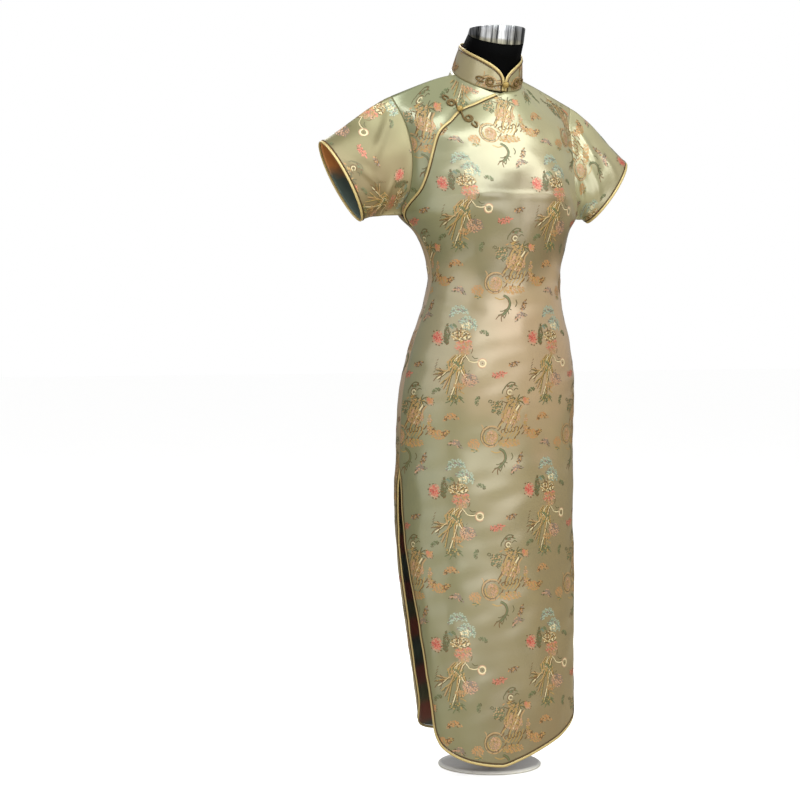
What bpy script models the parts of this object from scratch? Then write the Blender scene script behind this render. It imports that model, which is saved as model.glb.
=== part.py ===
"""Cheongsam dress standing on a limbless dress form, each cut piece a solid of its own.

Metres, Z up, the front faces -Y and the wearer's left is +X. The floor is Z = 0.
"""

import bmesh
import bpy
import numpy as np
from mathutils import Matrix, Vector
from mathutils.bvhtree import BVHTree

for leftover in list(bpy.data.objects):
    bpy.data.objects.remove(leftover, do_unlink=True)

# ---------------------------------------------------------------- driving sizes
WALL = 0.0018  # brocade and its backing as one wall
SEAM = 0.0003  # gap between neighbouring pieces
BIND_WIDTH = 0.0052  # satin binding along every free edge
BIND_RISE = 0.0007  # binding stands this far proud of the cloth
UNDERARM = 1.065  # height of the armhole's lowest point
SLIT_TOP = 0.587  # both side slits open below this height
HEM_FRONT = 0.024  # lowest point of the front hem
HEM_BACK = 0.062  # lowest point of the back hem
HEM_RISE = 0.056  # the hem climbs this much towards the slits
LEFT_HEM_START = -0.15  # from here the front hem climbs almost straight to the left slit
LEFT_HEM_RISE = 0.085
CORNER = 0.028  # radius of the hem corners
COLLAR_SIDE_HEIGHT = 0.049  # up to its binding
COLLAR_BACK_HEIGHT = 0.037
COLLAR_END_HEIGHT = 0.018  # the collar at its rounded front ends
COLLAR_CURVE = 0.070  # length over which the front ends round off
UNDER_INSET = 0.0043  # under front below the front panel's outer face
UNDERLAP = 0.003  # under front reaches this far below the slanting edge
FORM_GAP = 0.0005  # dress form to cloth on the shoulders
FORM_EASE = 0.0075  # more room below the shoulders
FORM_BOTTOM = 0.620
POLE_RADIUS = 0.0125
BASE_RADIUS = 0.100
BASE_HEIGHT = 0.008
CORD = 0.0014  # radius of the knotted cord
CORD_SLOPE = 0.5  # steepest way down for a cord that leaves a binding
KNOT_RADIUS = 0.0042
KNOT_FLATTEN = 0.8
CAP_TOP = 1.4245  # flat top of the form's metal neck cap
CAP_RIM = 0.0035  # least height of the cap's side
CAP_EDGE = 0.0015  # bevel round the cap's top
CROWN_SHARE = 0.975  # the cap's top inside its bevel
CAP_SIDES = 32

# Cross-sections of the front, hem to chest. An arc runs from one edge to the other.
FRONT = {
    "station": (-0.02, 0.085, 0.285, 0.429, 0.499, 0.565, 0.587, 0.615, 0.665, 0.745, 0.825, 0.895,
                0.950, 1.005, 1.040, UNDERARM, 1.115, 1.180, 1.240),
    "half_width": (0.146, 0.150, 0.166, 0.178, 0.181, 0.183, 0.184, 0.184, 0.184, 0.180, 0.164, 0.142,
                   0.133, 0.145, 0.161, 0.183, 0.177, 0.173, 0.179),
    "edge_y": (-0.068, -0.065, -0.031, 0.002, 0.013, 0.0160, 0.0215, 0.0210, 0.018, 0.010, 0.000, -0.008,
               -0.014, -0.010, 0.004, 0.019, -0.008, -0.012, 0.006),
    "centre_y": (-0.120, -0.118, -0.110, -0.105, -0.104, -0.103, -0.103, -0.102, -0.104, -0.111, -0.116,
                 -0.118, -0.122, -0.128, -0.131, -0.132, -0.129, -0.112, -0.086),
    "sweep": (78, 80, 86, 90, 90, 90, 90, 90, 90, 90, 90, 90, 90, 90, 90, 90, 82, 74, 68),
}
BACK = {
    "station": (0.01, 0.085, 0.285, 0.429, 0.499, 0.565, 0.587, 0.615, 0.665, 0.745, 0.825, 0.895,
                0.950, 1.005, 1.040, UNDERARM, 1.115, 1.180, 1.240, 1.300),
    "half_width": (0.144, 0.148, 0.164, 0.177, 0.181, 0.183, 0.184, 0.184, 0.184, 0.180, 0.164, 0.142,
                   0.133, 0.145, 0.161, 0.183, 0.178, 0.175, 0.182, 0.191),
    "edge_y": (-0.002, 0.000, 0.027, 0.040, 0.039, 0.0305, 0.0215, 0.0210, 0.018, 0.010, 0.000, -0.008,
               -0.014, -0.010, 0.004, 0.019, 0.060, 0.076, 0.068, 0.050),
    "centre_y": (0.102, 0.106, 0.123, 0.134, 0.137, 0.139, 0.139, 0.140, 0.138, 0.126, 0.108, 0.092,
                 0.084, 0.090, 0.098, 0.105, 0.113, 0.119, 0.117, 0.106),
    "sweep": (82, 84, 90, 90, 90, 90, 90, 90, 90, 90, 90, 90, 90, 90, 90, 90, 78, 66, 58, 60),
}
BACK_EDGE_DROP = {1.300: 0.030}  # the shoulder end of the top back section hangs lower
FRONT_TOP = 1.300
BACK_TOP = 1.350

# Neckline ring on which the collar stands: middle, radii, and its slope to the front.
NECK = {"centre_y": 0.015, "radius_x": 0.0675, "radius_y": 0.070, "front_z": 1.301, "slope": 0.50}
NECK_SPAN = 0.42  # share of a panel's top edge that lies on the neckline
# Rings that the collar and the form's neck rise towards: radius, middle, and height over the neckline.
COLLAR_LEAN = {"radius": 0.0580, "centre_y": -0.0066, "rise": 0.055}
FORM_NECK = {"radius": 0.0585, "centre_y": -0.0015, "rise": 0.042}
SHOULDER_TIP = {-1: (0.196, 0.033, 1.293), 1: (0.196, 0.033, 1.287)}
SHOULDER_RISE = {-1: 0.006, 1: 0.002}  # the shoulder seams arch up a little

# Bust fullness: side, height, forward swell and the two half sizes of the swell.
BUST = {"x": 0.082, "z": 1.100, "swell": 0.012, "half_x": 0.052, "half_z": 0.060}

# Slanting edge of the overlapping front, from the right side seam to the neckline.
SLANT = {
    "across": (-1.0, -0.85, -0.75, -0.5, -0.25, 0.0),
    "station": (1.045, 1.100, 1.180, 1.245, 1.270, FRONT_TOP),
}

# Sleeve openings: fold ends at top and bottom, depth of the opening front to back.
CUFF = {
    -1: {"top": (-0.339, 0.035, 1.203), "bottom": (-0.263, 0.020, 1.055), "half_depth": 0.038},
    1: {"top": (0.320, 0.032, 1.186), "bottom": (0.222, 0.014, 1.062), "half_depth": 0.038},
}

# Large sleeve folds: side, where each starts and ends (around, along), width and depth.
FOLDS = {
    "side": (-1, -1, 1, 1),
    "from_around": (0.42, 0.20, 0.40, 0.30),
    "from_along": (0.10, 0.40, 0.15, 0.35),
    "to_around": (0.30, 0.17, 0.22, 0.14),
    "to_along": (0.62, 0.80, 0.25, 0.75),
    "width": (0.012, 0.009, 0.010, 0.010),
    "depth": (0.005, -0.005, 0.006, 0.004),
}


# ---------------------------------------------------------------- curves and surfaces
def spline(stations, values, at):
    """Smooth curve through rows of values, sloping at each row as its neighbours do."""
    s = np.asarray(stations, float)
    v = np.asarray(values, float).reshape(len(s), -1)
    step = np.diff(s)
    rise = np.diff(v, axis=0) / step[:, None]
    slope = np.empty_like(v)
    slope[0], slope[-1] = rise[0], rise[-1]
    blend = (step[1:] / (step[1:] + step[:-1]))[:, None]
    slope[1:-1] = rise[:-1] * blend + rise[1:] * (1 - blend)
    at = np.asarray(at, float)
    i = np.clip(np.searchsorted(s, at) - 1, 0, len(s) - 2)
    t = ((at - s[i]) / step[i])[:, None]
    d = step[i][:, None]
    p, q, a, b = v[i], v[i + 1], slope[i] * d, slope[i + 1] * d
    return (p + t * a + t * t * (3 * (q - p) - 2 * a - b) + t**3 * (2 * (p - q) + a + b)).reshape(
        at.shape + np.shape(values)[1:]
    )


def unit(v):
    return v / np.maximum(np.linalg.norm(v, axis=-1, keepdims=True), 1e-12)


def smooth(t):
    t = np.clip(t, 0, 1)
    return t * t * (3 - 2 * t)


def neck_ring(angle):
    """Point of the neckline; angle 0 is the centre front and grows towards the left."""
    x = NECK["radius_x"] * np.sin(angle)
    y = NECK["centre_y"] - NECK["radius_y"] * np.cos(angle)
    low = NECK["centre_y"] - NECK["radius_y"]
    return np.stack([x, y, NECK["front_z"] + NECK["slope"] * (y - low)], -1)


def leaning_ring(lean, angle, height):
    """Ring that a collar or neck rises towards, this much above the neckline's height."""
    return np.stack([lean["radius"] * np.sin(angle), lean["centre_y"] - lean["radius"] * np.cos(angle),
                     height + lean["rise"]], -1)


def top_edge(u, front):
    """Top of a body panel: neckline in the middle, a shoulder seam on each side."""
    u = np.asarray(u, float)
    side = np.where(u < 0, -1, 1)
    inner = np.clip(np.abs(u) / NECK_SPAN, 0, 1)
    angle = side * inner * np.pi / 2
    ring = neck_ring(angle if front else side * np.pi - angle)
    tip = np.where(side[..., None] < 0, np.array((-1, 1, 1)) * SHOULDER_TIP[-1], SHOULDER_TIP[1])
    root = neck_ring(side * np.pi / 2)
    out = np.clip((np.abs(u) - NECK_SPAN) / (1 - NECK_SPAN), 0, None)[..., None]
    rise = np.where(side < 0, SHOULDER_RISE[-1], SHOULDER_RISE[1])[..., None]
    arch = np.sin(np.pi * np.clip(out, 0, 1) ** 0.6) * np.array((0, 0, 1))
    seam = root + (tip - root) * out + rise * arch
    return np.where((out > 0), seam, ring)


def swell(point):
    """Forward fullness over the bust."""
    x, z = point[..., 0], point[..., 2]
    across = np.exp(-(((np.abs(x) - BUST["x"]) / BUST["half_x"]) ** 2))
    height = np.exp(-(((z - BUST["z"]) / BUST["half_z"]) ** 2))
    out = point.copy()
    out[..., 1] -= BUST["swell"] * across * height
    return out


class Panel:
    """Front or back of the body: u runs from the right edge (-1) to the left edge (1)."""

    def __init__(self, rows, top_station, front):
        self.rows = rows
        self.front = front
        self.stations = np.array(rows["station"] + (top_station,))
        self.top = top_station

    def key_points(self, u):
        keys = []
        table = zip(*(self.rows[c] for c in ("station", "half_width", "edge_y", "centre_y", "sweep")))
        for station, half, edge, centre, sweep in table:
            a = np.radians(sweep)
            x = half * np.sin(a * u) / np.sin(a)
            share = (np.cos(a * u) - np.cos(a)) / (1 - np.cos(a))
            z = np.full_like(x, station)
            if not self.front:
                z = z - BACK_EDGE_DROP.get(station, 0) * u**4
            keys.append(np.stack([x, edge + (centre - edge) * share, z], -1))
        keys.append(top_edge(u, self.front))
        return np.array(keys)

    def points(self, u, station):
        """One point for each pair of u and station."""
        u, station = np.broadcast_arrays(np.asarray(u, float), np.asarray(station, float))
        out = np.empty(u.shape + (3,))
        for value in np.unique(u):
            here = u == value
            out[here] = spline(self.stations, self.key_points(np.array(value)), station[here])
        return swell(out) if self.front else out

    def normals(self, u, station):
        u, station = np.broadcast_arrays(np.asarray(u, float), np.asarray(station, float))
        du, ds = 0.004, 0.003
        high = np.minimum(station + ds, self.top)
        across = self.points(np.minimum(u + du, 1), station) - self.points(np.maximum(u - du, -1), station)
        up = self.points(u, high) - self.points(u, station - ds)
        n = unit(np.cross(across, up))
        return n if self.front else -n


FRONT_PANEL = Panel(FRONT, FRONT_TOP, True)
BACK_PANEL = Panel(BACK, BACK_TOP, False)


def seam_normals(u, station, own, other):
    """Normals that both pieces share where they meet, so their walls are mitred."""
    return unit(own.normals(u, station) + other.normals(u, station))


def hem_station(u, lowest, half_length):
    """Height of the hem: higher at the sides, with a rounded corner at each slit."""
    inward = np.clip((1 - np.abs(u)) * half_length, 0, CORNER)
    corner = CORNER - np.sqrt(np.maximum(CORNER**2 - (CORNER - inward) ** 2, 0))
    rise = HEM_RISE * np.abs(u) ** 2.2
    if lowest == HEM_FRONT:
        share = np.clip((u - LEFT_HEM_START) / (1 - LEFT_HEM_START), 0, 1)
        straight = HEM_RISE * abs(LEFT_HEM_START) ** 2.2 + LEFT_HEM_RISE * share**1.1
        rise = np.where(u > LEFT_HEM_START, straight, rise)
    return lowest + rise + corner


def slant_station(u):
    return spline(SLANT["across"], SLANT["station"], u)


# ---------------------------------------------------------------- solids from grids
def inside_out(points, faces):
    """True if the faces turn the wrong way, going by the volume they enclose."""
    volume = 0.0
    for face in faces:
        corner = points[list(face)]
        fans = np.cross(corner[1:-1], corner[2:])
        volume += float((fans @ corner[0]).sum())
    return volume < 0


def add_solid(name, points, faces, material, smooth_faces=True):
    points = np.asarray(points, float)
    if inside_out(points, faces):
        faces = [tuple(reversed(face)) for face in faces]
    mesh = bpy.data.meshes.new(name)
    mesh.from_pydata([tuple(map(float, p)) for p in points], [], faces)
    mesh.materials.append(material)
    mesh.polygons.foreach_set("use_smooth", [smooth_faces] * len(mesh.polygons))
    mesh.update()
    solid = bpy.data.objects.new(name, mesh)
    PART.objects.link(solid)
    return solid


def shell(name, outer, normals, material, wall=WALL, ring=False):
    """Closed wall from a grid of outer points (up, around), moved in along the normals."""
    rows, cols = outer.shape[:2]
    points = np.concatenate([outer.reshape(-1, 3), (outer - normals * wall).reshape(-1, 3)])
    inner = rows * cols
    last = cols if ring else cols - 1
    faces = []
    for r in range(rows - 1):
        for c in range(last):
            a, b = r * cols + c, r * cols + (c + 1) % cols
            d, e = a + cols, (r + 1) * cols + (c + 1) % cols
            faces.append((a, b, e, d))
            faces.append((inner + a, inner + d, inner + e, inner + b))
    for c in range(last):
        a, b = c, (c + 1) % cols
        faces.append((a, inner + a, inner + b, b))
        a, b = a + (rows - 1) * cols, b + (rows - 1) * cols
        faces.append((b, inner + b, inner + a, a))
    if not ring:
        for r in range(rows - 1):
            a, d = r * cols, (r + 1) * cols
            faces.append((d, inner + d, inner + a, a))
            a, d = a + cols - 1, d + cols - 1
            faces.append((a, inner + a, inner + d, d))
    return add_solid(name, points, faces, material)


def sweep(name, path, across, out, profile, material, ring=False):
    """Bar with a fixed profile, set at each path point by its across and out directions."""
    profile = np.asarray(profile, float)
    count = len(profile)
    points = (
        path[:, None]
        + across[:, None] * profile[None, :, :1]
        + out[:, None] * profile[None, :, 1:]
    ).reshape(-1, 3)
    faces = []
    steps = len(path) if ring else len(path) - 1
    for i in range(steps):
        j = (i + 1) % len(path)
        for k in range(count):
            m = (k + 1) % count
            faces.append((i * count + k, j * count + k, j * count + m, i * count + m))
    if not ring:
        faces.append(tuple(range(count)))
        faces.append(tuple(reversed(range((len(path) - 1) * count, len(path) * count))))
    return add_solid(name, points, faces, material)


def edging(name, path, out, away, material, ring=False, low=-WALL, start=None):
    """Binding beyond an edge: away points off the cloth, out is the cloth's normal."""
    if ring:
        along = np.roll(path, -1, 0) - np.roll(path, 1, 0)
    else:
        along = np.gradient(path, axis=0)
    across = unit(np.cross(along, out))
    across *= np.where((across * away).sum(-1, keepdims=True) < 0, -1, 1)
    if start is not None:
        across[0] = start
    width = BIND_WIDTH
    a, b, top = SEAM, SEAM + width, BIND_RISE
    profile = [(a, top * 0.6), (a + 0.3 * width, top), (b - 0.25 * width, top * 0.7), (b, 0.5 * low),
               (b - 0.25 * width, low), (a, low)]
    return sweep(name, path, across, out, profile, material, ring)


def seat_height(point, normal, carriers, reach, depth):
    """How far along its normal a rounded piece's middle lies when it rests on the carriers."""
    side = unit(np.cross(normal, (0.3, 0.2, 0.9)))
    other = np.cross(normal, side)
    start = 0.02
    best = -start
    for share in (0.0, 0.5, 0.95):
        for turn in np.linspace(0, 2 * np.pi, 8, endpoint=False):
            foot = point + (side * np.cos(turn) + other * np.sin(turn)) * reach * share
            for tree in carriers:
                hit = tree.ray_cast(Vector(foot + normal * start), Vector(-normal), 2 * start)
                if hit[0] is not None:
                    best = max(best, start - hit[3] + SEAM + depth * np.sqrt(1 - share**2))
    return best


def surfaces(*solids):
    """Search trees over the solids' own triangles."""
    trees = []
    for solid in solids:
        mesh = solid.data
        mesh.calc_loop_triangles()
        corners = [v.co for v in mesh.vertices]
        trees.append(BVHTree.FromPolygons(corners, [tuple(t.vertices) for t in mesh.loop_triangles]))
    return trees


def cord(name, path, normals, carriers, material):
    """Round cord laid along a path on its carriers, with both ends closed."""
    height = np.array([seat_height(p, n, carriers, CORD, CORD) for p, n in zip(path, normals)])
    along = np.append(0, np.cumsum(np.linalg.norm(np.diff(path, axis=0), axis=1)))
    height = (height - CORD_SLOPE * np.abs(along[:, None] - along)).max(1)
    path = path + normals * height[:, None]
    curve = bpy.data.curves.new(name, "CURVE")
    curve.dimensions = "3D"
    curve.bevel_depth = CORD
    curve.bevel_resolution = 1
    curve.use_fill_caps = True
    spline_points = curve.splines.new("POLY").points
    spline_points.add(len(path) - 1)
    for target, p in zip(spline_points, path):
        target.co = (*map(float, p), 1)
    curve.materials.append(material)
    PART.objects.link(bpy.data.objects.new(name, curve))


# ---------------------------------------------------------------- materials
def material(name, colour, roughness, metallic=0.0):
    m = bpy.data.materials.new(name)
    m.use_nodes = True
    shader = m.node_tree.nodes["Principled BSDF"]
    shader.inputs["Base Color"].default_value = (*colour, 1)
    shader.inputs["Roughness"].default_value = roughness
    shader.inputs["Metallic"].default_value = metallic
    return m


BROCADE = (0.52, 0.49, 0.30)
SATIN = (0.62, 0.50, 0.20)
KNOT = (0.30, 0.20, 0.07)

PART = bpy.data.collections.new("Cheongsam_Dress")
bpy.context.scene.collection.children.link(PART)

# ---------------------------------------------------------------- body panels
BODY_STATIONS = np.array((0.17, 0.27, 0.37, 0.45, 0.51, 0.55, 0.568, SLIT_TOP, 0.62, 0.675, 0.735,
                          0.795, 0.85, 0.90, 0.945, 0.985, 1.015))
HEM_SHARES = (0.0, 0.12, 0.5)
CHEST_SHARES = (0.31, 0.45, 0.59, 0.73, 0.87, 1.0)
HALF_PANEL = 0.20  # rough length from the centre of a panel to its slit edge
UNDER_FOOT = SLANT["station"][0] - UNDERLAP


def edge_spaced(count, pull=0.5):
    t = np.linspace(-1, 1, count)
    return (1 - pull) * t + pull * np.sin(np.pi * t / 2)


def column_stations(u, lowest, top, full_top):
    hem = hem_station(u, lowest, HALF_PANEL)
    first, start = BODY_STATIONS[0], BODY_STATIONS[-1]
    shares = ((UNDERARM - start) / (full_top - start),) + CHEST_SHARES
    low = [hem + (first - hem) * s for s in HEM_SHARES]
    body = [np.full_like(u, s) for s in BODY_STATIONS]
    chest = [start + (top - start) * s for s in shares]
    return np.array(low + body + chest)


def body_grid(panel, other, u, stations, top_is_shoulder, gap=SEAM / 2):
    """Points and normals of a panel, with the gap at its seams taken off."""
    across = np.broadcast_to(u, stations.shape)
    points = panel.points(across, stations)
    normals = panel.normals(across, stations)
    back = -1 if panel.front else 1
    for column in (0, -1):
        if abs(u[column]) < 1:
            continue
        seam = (stations[:, column] > SLIT_TOP - 0.001) & (stations[:, column] <= UNDERARM + 1e-6)
        at = stations[seam, column]
        normals[seam, column] = seam_normals(np.full_like(at, u[column]), at, panel, other)
        points[seam, column, 1] += back * gap
    shoulder = top_is_shoulder & (np.abs(u) > NECK_SPAN - 1e-6)
    front = FRONT_PANEL.normals(u[shoulder], np.full(shoulder.sum(), FRONT_TOP))
    rear = BACK_PANEL.normals(u[shoulder], np.full(shoulder.sum(), BACK_TOP))
    normals[-1, shoulder] = unit(front + rear)
    points[-1, shoulder, 1] += back * SEAM / 2
    return points, normals


FRONT_U = np.sort(np.append(edge_spaced(21), (NECK_SPAN, -NECK_SPAN)))
FRONT_U[len(FRONT_U) // 2] = 0.0
FRONT_TOPS = np.where(FRONT_U < 0, slant_station(np.minimum(FRONT_U, 0)), FRONT_TOP)
front_stations = column_stations(FRONT_U, HEM_FRONT, FRONT_TOPS, FRONT_TOP)
front_points, front_normals = body_grid(
    FRONT_PANEL, BACK_PANEL, FRONT_U, front_stations, FRONT_U > 0)

BACK_U = FRONT_U
back_stations = column_stations(BACK_U, HEM_BACK, np.full_like(BACK_U, BACK_TOP), BACK_TOP)
back_points, back_normals = body_grid(
    BACK_PANEL, FRONT_PANEL, BACK_U, back_stations, np.full(len(BACK_U), True))

# The under front lies below the front panel's slanting edge, and rises to the surface above it.
UNDER_U = FRONT_U[FRONT_U < 1e-9]
UNDER_SHARES = np.array(
    (0.0, (UNDERARM - UNDER_FOOT) / (FRONT_TOP - UNDER_FOOT), 0.29, 0.44, 0.60, 0.80, 1.0))
under_low = slant_station(UNDER_U) - UNDERLAP
under_stations = under_low + (FRONT_TOP - under_low) * UNDER_SHARES[:, None]
under_points, under_normals = body_grid(
    FRONT_PANEL, BACK_PANEL, UNDER_U, under_stations, UNDER_U < 0, gap=0.0008)

# ---------------------------------------------------------------- sleeves
ALONG = np.array((0.0, 0.07, 0.17, 0.29, 0.42, 0.55, 0.68, 0.80, 0.91, 1.0))


def with_middles(points):
    """The points of a closed ring, with one more halfway along each side."""
    halfway = (points + np.roll(points, -1, 0)) / 2
    return np.stack([points, halfway], 1).reshape(-1, points.shape[-1])


def armhole(side):
    """Armhole ring from the underarm up the front, over the shoulder and down the back."""
    front = (under_points, under_normals, under_stations) if side < 0 else (
        front_points, front_normals, front_stations)
    edge = 0 if side < 0 else -1
    parts = []
    for points, normals, stations in (front, (back_points, back_normals, back_stations)):
        rows = np.flatnonzero(stations[:, edge] > UNDERARM - 1e-6)
        parts.append((points, normals, rows, edge))
    points, normals, share = [], [], []
    for (p, n, rows, e), start in zip(parts, (0.0, 0.5)):
        q, m = p[rows, e], n[rows, e]
        if start:
            q, m = q[::-1], m[::-1]
        length = np.append(0, np.cumsum(np.linalg.norm(np.diff(q, axis=0), axis=1)))
        points.append(q[:-1])
        normals.append(m[:-1])
        share.append(start + 0.5 * length[:-1] / length[-1])
    return np.concatenate(points), np.concatenate(normals), np.concatenate(share), parts


def sleeve_grid(side, ring, share):
    """Outer face of a sleeve from the armhole ring to the flattened cuff opening."""
    cuff = CUFF[side]
    top, bottom = np.array(cuff["top"]), np.array(cuff["bottom"])
    middle, half = (top + bottom) / 2, (top - bottom) / 2
    turn = 2 * np.pi * share
    depth = np.sin(turn) * np.abs(np.sin(turn)) ** 0.12 * cuff["half_depth"]
    end = middle - np.cos(turn)[:, None] * half + depth[:, None] * np.array((0, -1, 0))
    outward = unit(np.cross((0, side, 0), half))
    high = (1 - np.cos(turn))[:, None] / 2
    leave = unit(np.array((side, 0, -0.12)) - high * np.array((0, 0, 0.28)))
    length = np.linalg.norm(end - ring, axis=1)[:, None] * 0.9
    t = ALONG[:, None, None]
    grid = (
        (2 * t**3 - 3 * t**2 + 1) * ring
        + (t**3 - 2 * t**2 + t) * length * leave
        + (3 * t**2 - 2 * t**3) * end
        + (t**3 - t**2) * length * outward
    )
    return grid, outward


def grid_normals(grid, centre_line):
    """Normals of a closed-ring grid, pointing away from the line through its ring centres."""
    around = np.roll(grid, -1, 1) - np.roll(grid, 1, 1)
    along = np.gradient(grid, axis=0)
    n = unit(np.cross(around, along))
    away = grid - centre_line[:, None]
    return n if (n * away).sum() > 0 else -n


def fold_height(side, share, along):
    """Push of the large folds, as soft straight ridges drawn in around-and-along space."""
    push = np.zeros(np.broadcast(share, along).shape)
    for which, a0, l0, a1, l1, width, depth in zip(*FOLDS.values()):
        if which != side:
            continue
        p, q = np.array((a0 * 0.42, l0 * 0.15)), np.array((a1 * 0.42, l1 * 0.15))
        at = np.stack(np.broadcast_arrays(share * 0.42, along * 0.15), -1)
        t = np.clip(((at - p) @ (q - p)) / ((q - p) @ (q - p)), 0, 1)
        off = np.linalg.norm(at - p - t[..., None] * (q - p), axis=-1)
        push += depth * np.exp(-((off / width) ** 2)) * np.sin(np.pi * (0.15 + 0.7 * t))
    return push


sleeves = {}
for side in (-1, 1):
    corners, corner_normals, share, parts = armhole(side)
    gap = np.array((side * SEAM, 0, 0))
    ring = with_middles(corners) + gap
    body_out = unit(with_middles(corner_normals))
    joined = np.append(share, 1.0)
    share = np.stack([share, (joined[:-1] + joined[1:]) / 2], 1).reshape(-1)
    grid, outward = sleeve_grid(side, ring, share)
    normals = grid_normals(grid, grid.mean(1))
    push = fold_height(side, share[None], ALONG[:, None]) * smooth(ALONG / 0.12)[:, None]
    push *= smooth((1 - ALONG) / 0.12)[:, None]
    grid = grid + normals * push[..., None]
    normals = grid_normals(grid, grid.mean(1))
    normals[0] = unit(normals[0] + body_out)
    sleeves[side] = (grid, normals, outward)
    shared = normals[0, ::2]
    (p, n, rows, e), (p2, n2, rows2, e2) = parts
    n[rows[:-1], e] = shared[:len(rows) - 1]
    n2[rows2[::-1][:-1], e2] = shared[len(rows) - 1:]
    n[rows[-1], e] = shared[len(rows) - 1]
    n2[rows2[0], e2] = shared[0]

# ---------------------------------------------------------------- collar
COLLAR_ROWS = np.array((0.0, 0.4, 0.8, 1.0))
COLLAR_END = (SEAM + BIND_WIDTH + 0.0006) / NECK["radius_y"]
COLLAR_LOWERS = 1.2  # angle from the centre front where the collar begins to get lower


def neck_angles():
    """Angles of the panels' corners round the neckline, with the collar's own two ends."""
    right = UNDER_U[UNDER_U > -NECK_SPAN - 1e-6] / NECK_SPAN * np.pi / 2
    left = FRONT_U[(FRONT_U > -1e-6) & (FRONT_U < NECK_SPAN + 1e-6)] / NECK_SPAN * np.pi / 2
    rear = np.pi - BACK_U[np.abs(BACK_U) < NECK_SPAN + 1e-6][::-1] / NECK_SPAN * np.pi / 2
    turn = np.concatenate([left, rear[1:], 2 * np.pi + right[1:]])
    return turn


corner_turn = neck_angles()
corner_points = neck_ring(corner_turn)
extra = (corner_turn[:-1] + corner_turn[1:]) / 2
turn = np.sort(np.concatenate([corner_turn, extra]))
inside = (turn > COLLAR_END + 0.02) & (turn < 2 * np.pi - COLLAR_END - 0.02)
near_end = COLLAR_END + np.array((0.02, 0.07, 0.15))
turn = np.concatenate([[COLLAR_END], near_end, turn[inside & (turn > 0.25) & (turn < 2 * np.pi - 0.25)],
                       2 * np.pi - near_end[::-1], [2 * np.pi - COLLAR_END]])
base = np.stack([np.interp(turn, corner_turn, corner_points[:, k]) for k in range(3)], -1)
base[:, 2] += SEAM
upper = leaning_ring(COLLAR_LEAN, turn, base[:, 2])
from_end = (np.minimum(turn, 2 * np.pi - turn) - COLLAR_END) * NECK["radius_y"]
rounding = 1 - np.clip(from_end / COLLAR_CURVE, 0, 1)
backward = smooth((np.minimum(turn, 2 * np.pi - turn) - COLLAR_LOWERS) / (np.pi - COLLAR_LOWERS))
tall = COLLAR_END_HEIGHT + (COLLAR_SIDE_HEIGHT - COLLAR_END_HEIGHT) * np.sqrt(1 - rounding**2)
tall += (COLLAR_BACK_HEIGHT - COLLAR_SIDE_HEIGHT) * backward
collar_points = base + unit(upper - base) * (tall * COLLAR_ROWS[:, None])[..., None]
around = np.gradient(collar_points, axis=1)
collar_normals = unit(np.cross(around, np.broadcast_to(unit(upper - base), collar_points.shape)))
facing = collar_points - collar_points.mean((0, 1))
if (collar_normals * facing * (1, 1, 0)).sum() < 0:
    collar_normals = -collar_normals


def neck_normals(points):
    """Mean of the collar's own normal and the panel's, where the two meet."""
    distance = np.linalg.norm(collar_points[0][None] - points[:, None], axis=-1)
    return collar_normals[0][distance.argmin(1)]


for points, normals, u in ((front_points, front_normals, FRONT_U), (under_points, under_normals, UNDER_U),
                           (back_points, back_normals, BACK_U)):
    on_neck = np.abs(u) < NECK_SPAN - 1e-6
    if points is front_points:
        on_neck &= u > -1e-6
    normals[-1, on_neck] = unit(normals[-1, on_neck] + neck_normals(points[-1, on_neck]))

fine_u = np.linspace(-1, 0, 200)
slant_line = FRONT_PANEL.points(fine_u, slant_station(fine_u))
clear = np.linalg.norm(under_points[:, :, None] - slant_line, axis=-1).min(-1)
inset = UNDER_INSET * (1 - smooth((clear - 0.007) / 0.030))
under_points = under_points - under_normals * inset[..., None]

front_panel = shell("Front_Panel", front_points, front_normals, material("Front Brocade", BROCADE, 0.45))
under_front = shell("Under_Front", under_points, under_normals,
                    material("Under Front Brocade", BROCADE, 0.45))
shell("Back_Panel", back_points, back_normals, material("Back Brocade", BROCADE, 0.45))
for side, name in ((-1, "Right"), (1, "Left")):
    grid, normals, outward = sleeves[side]
    shell(name + "_Sleeve", grid, normals, material(name + " Sleeve Brocade", BROCADE, 0.45), ring=True)
collar = shell("Collar", collar_points, collar_normals, material("Collar Brocade", BROCADE, 0.45))

# ---------------------------------------------------------------- bindings
def hem_binding(name, points, normals, stations, cloth_side, satin):
    """Binding down one slit, round the hem and up the other slit."""
    first = int(np.argmin(np.abs(stations[:, 0] - BODY_STATIONS[BODY_STATIONS < SLIT_TOP - 0.001][-1])))
    left = [(r, 0) for r in range(first, 0, -1)]
    bottom = [(0, c) for c in range(points.shape[1])]
    right = [(r, points.shape[1] - 1) for r in range(1, first + 1)]
    order = np.array(left + bottom + right)
    path = points[order[:, 0], order[:, 1]]
    out = normals[order[:, 0], order[:, 1]]
    away = np.tile((0.0, 0.0, -1.0), (len(order), 1))
    away[:len(left)] = (0, cloth_side, 0)
    away[len(left) + len(bottom):] = (0, cloth_side, 0)
    for i in (len(left), len(left) + len(bottom) - 1):
        away[i] = (0, cloth_side * 0.9, -0.4)
    edging(name, path, out, away, satin)


hem_binding("Front_Hem_Binding", front_points, front_normals, front_stations, 1,
            material("Front Hem Satin", SATIN, 0.35))
hem_binding("Back_Hem_Binding", back_points, back_normals, back_stations, -1,
            material("Back Hem Satin", SATIN, 0.35))

for side, name in ((-1, "Right"), (1, "Left")):
    grid, normals, outward = sleeves[side]
    edging(name + "_Cuff_Binding", grid[-1], normals[-1], np.broadcast_to(outward, grid[-1].shape),
           material(name + " Cuff Satin", SATIN, 0.35), ring=True)

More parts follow.
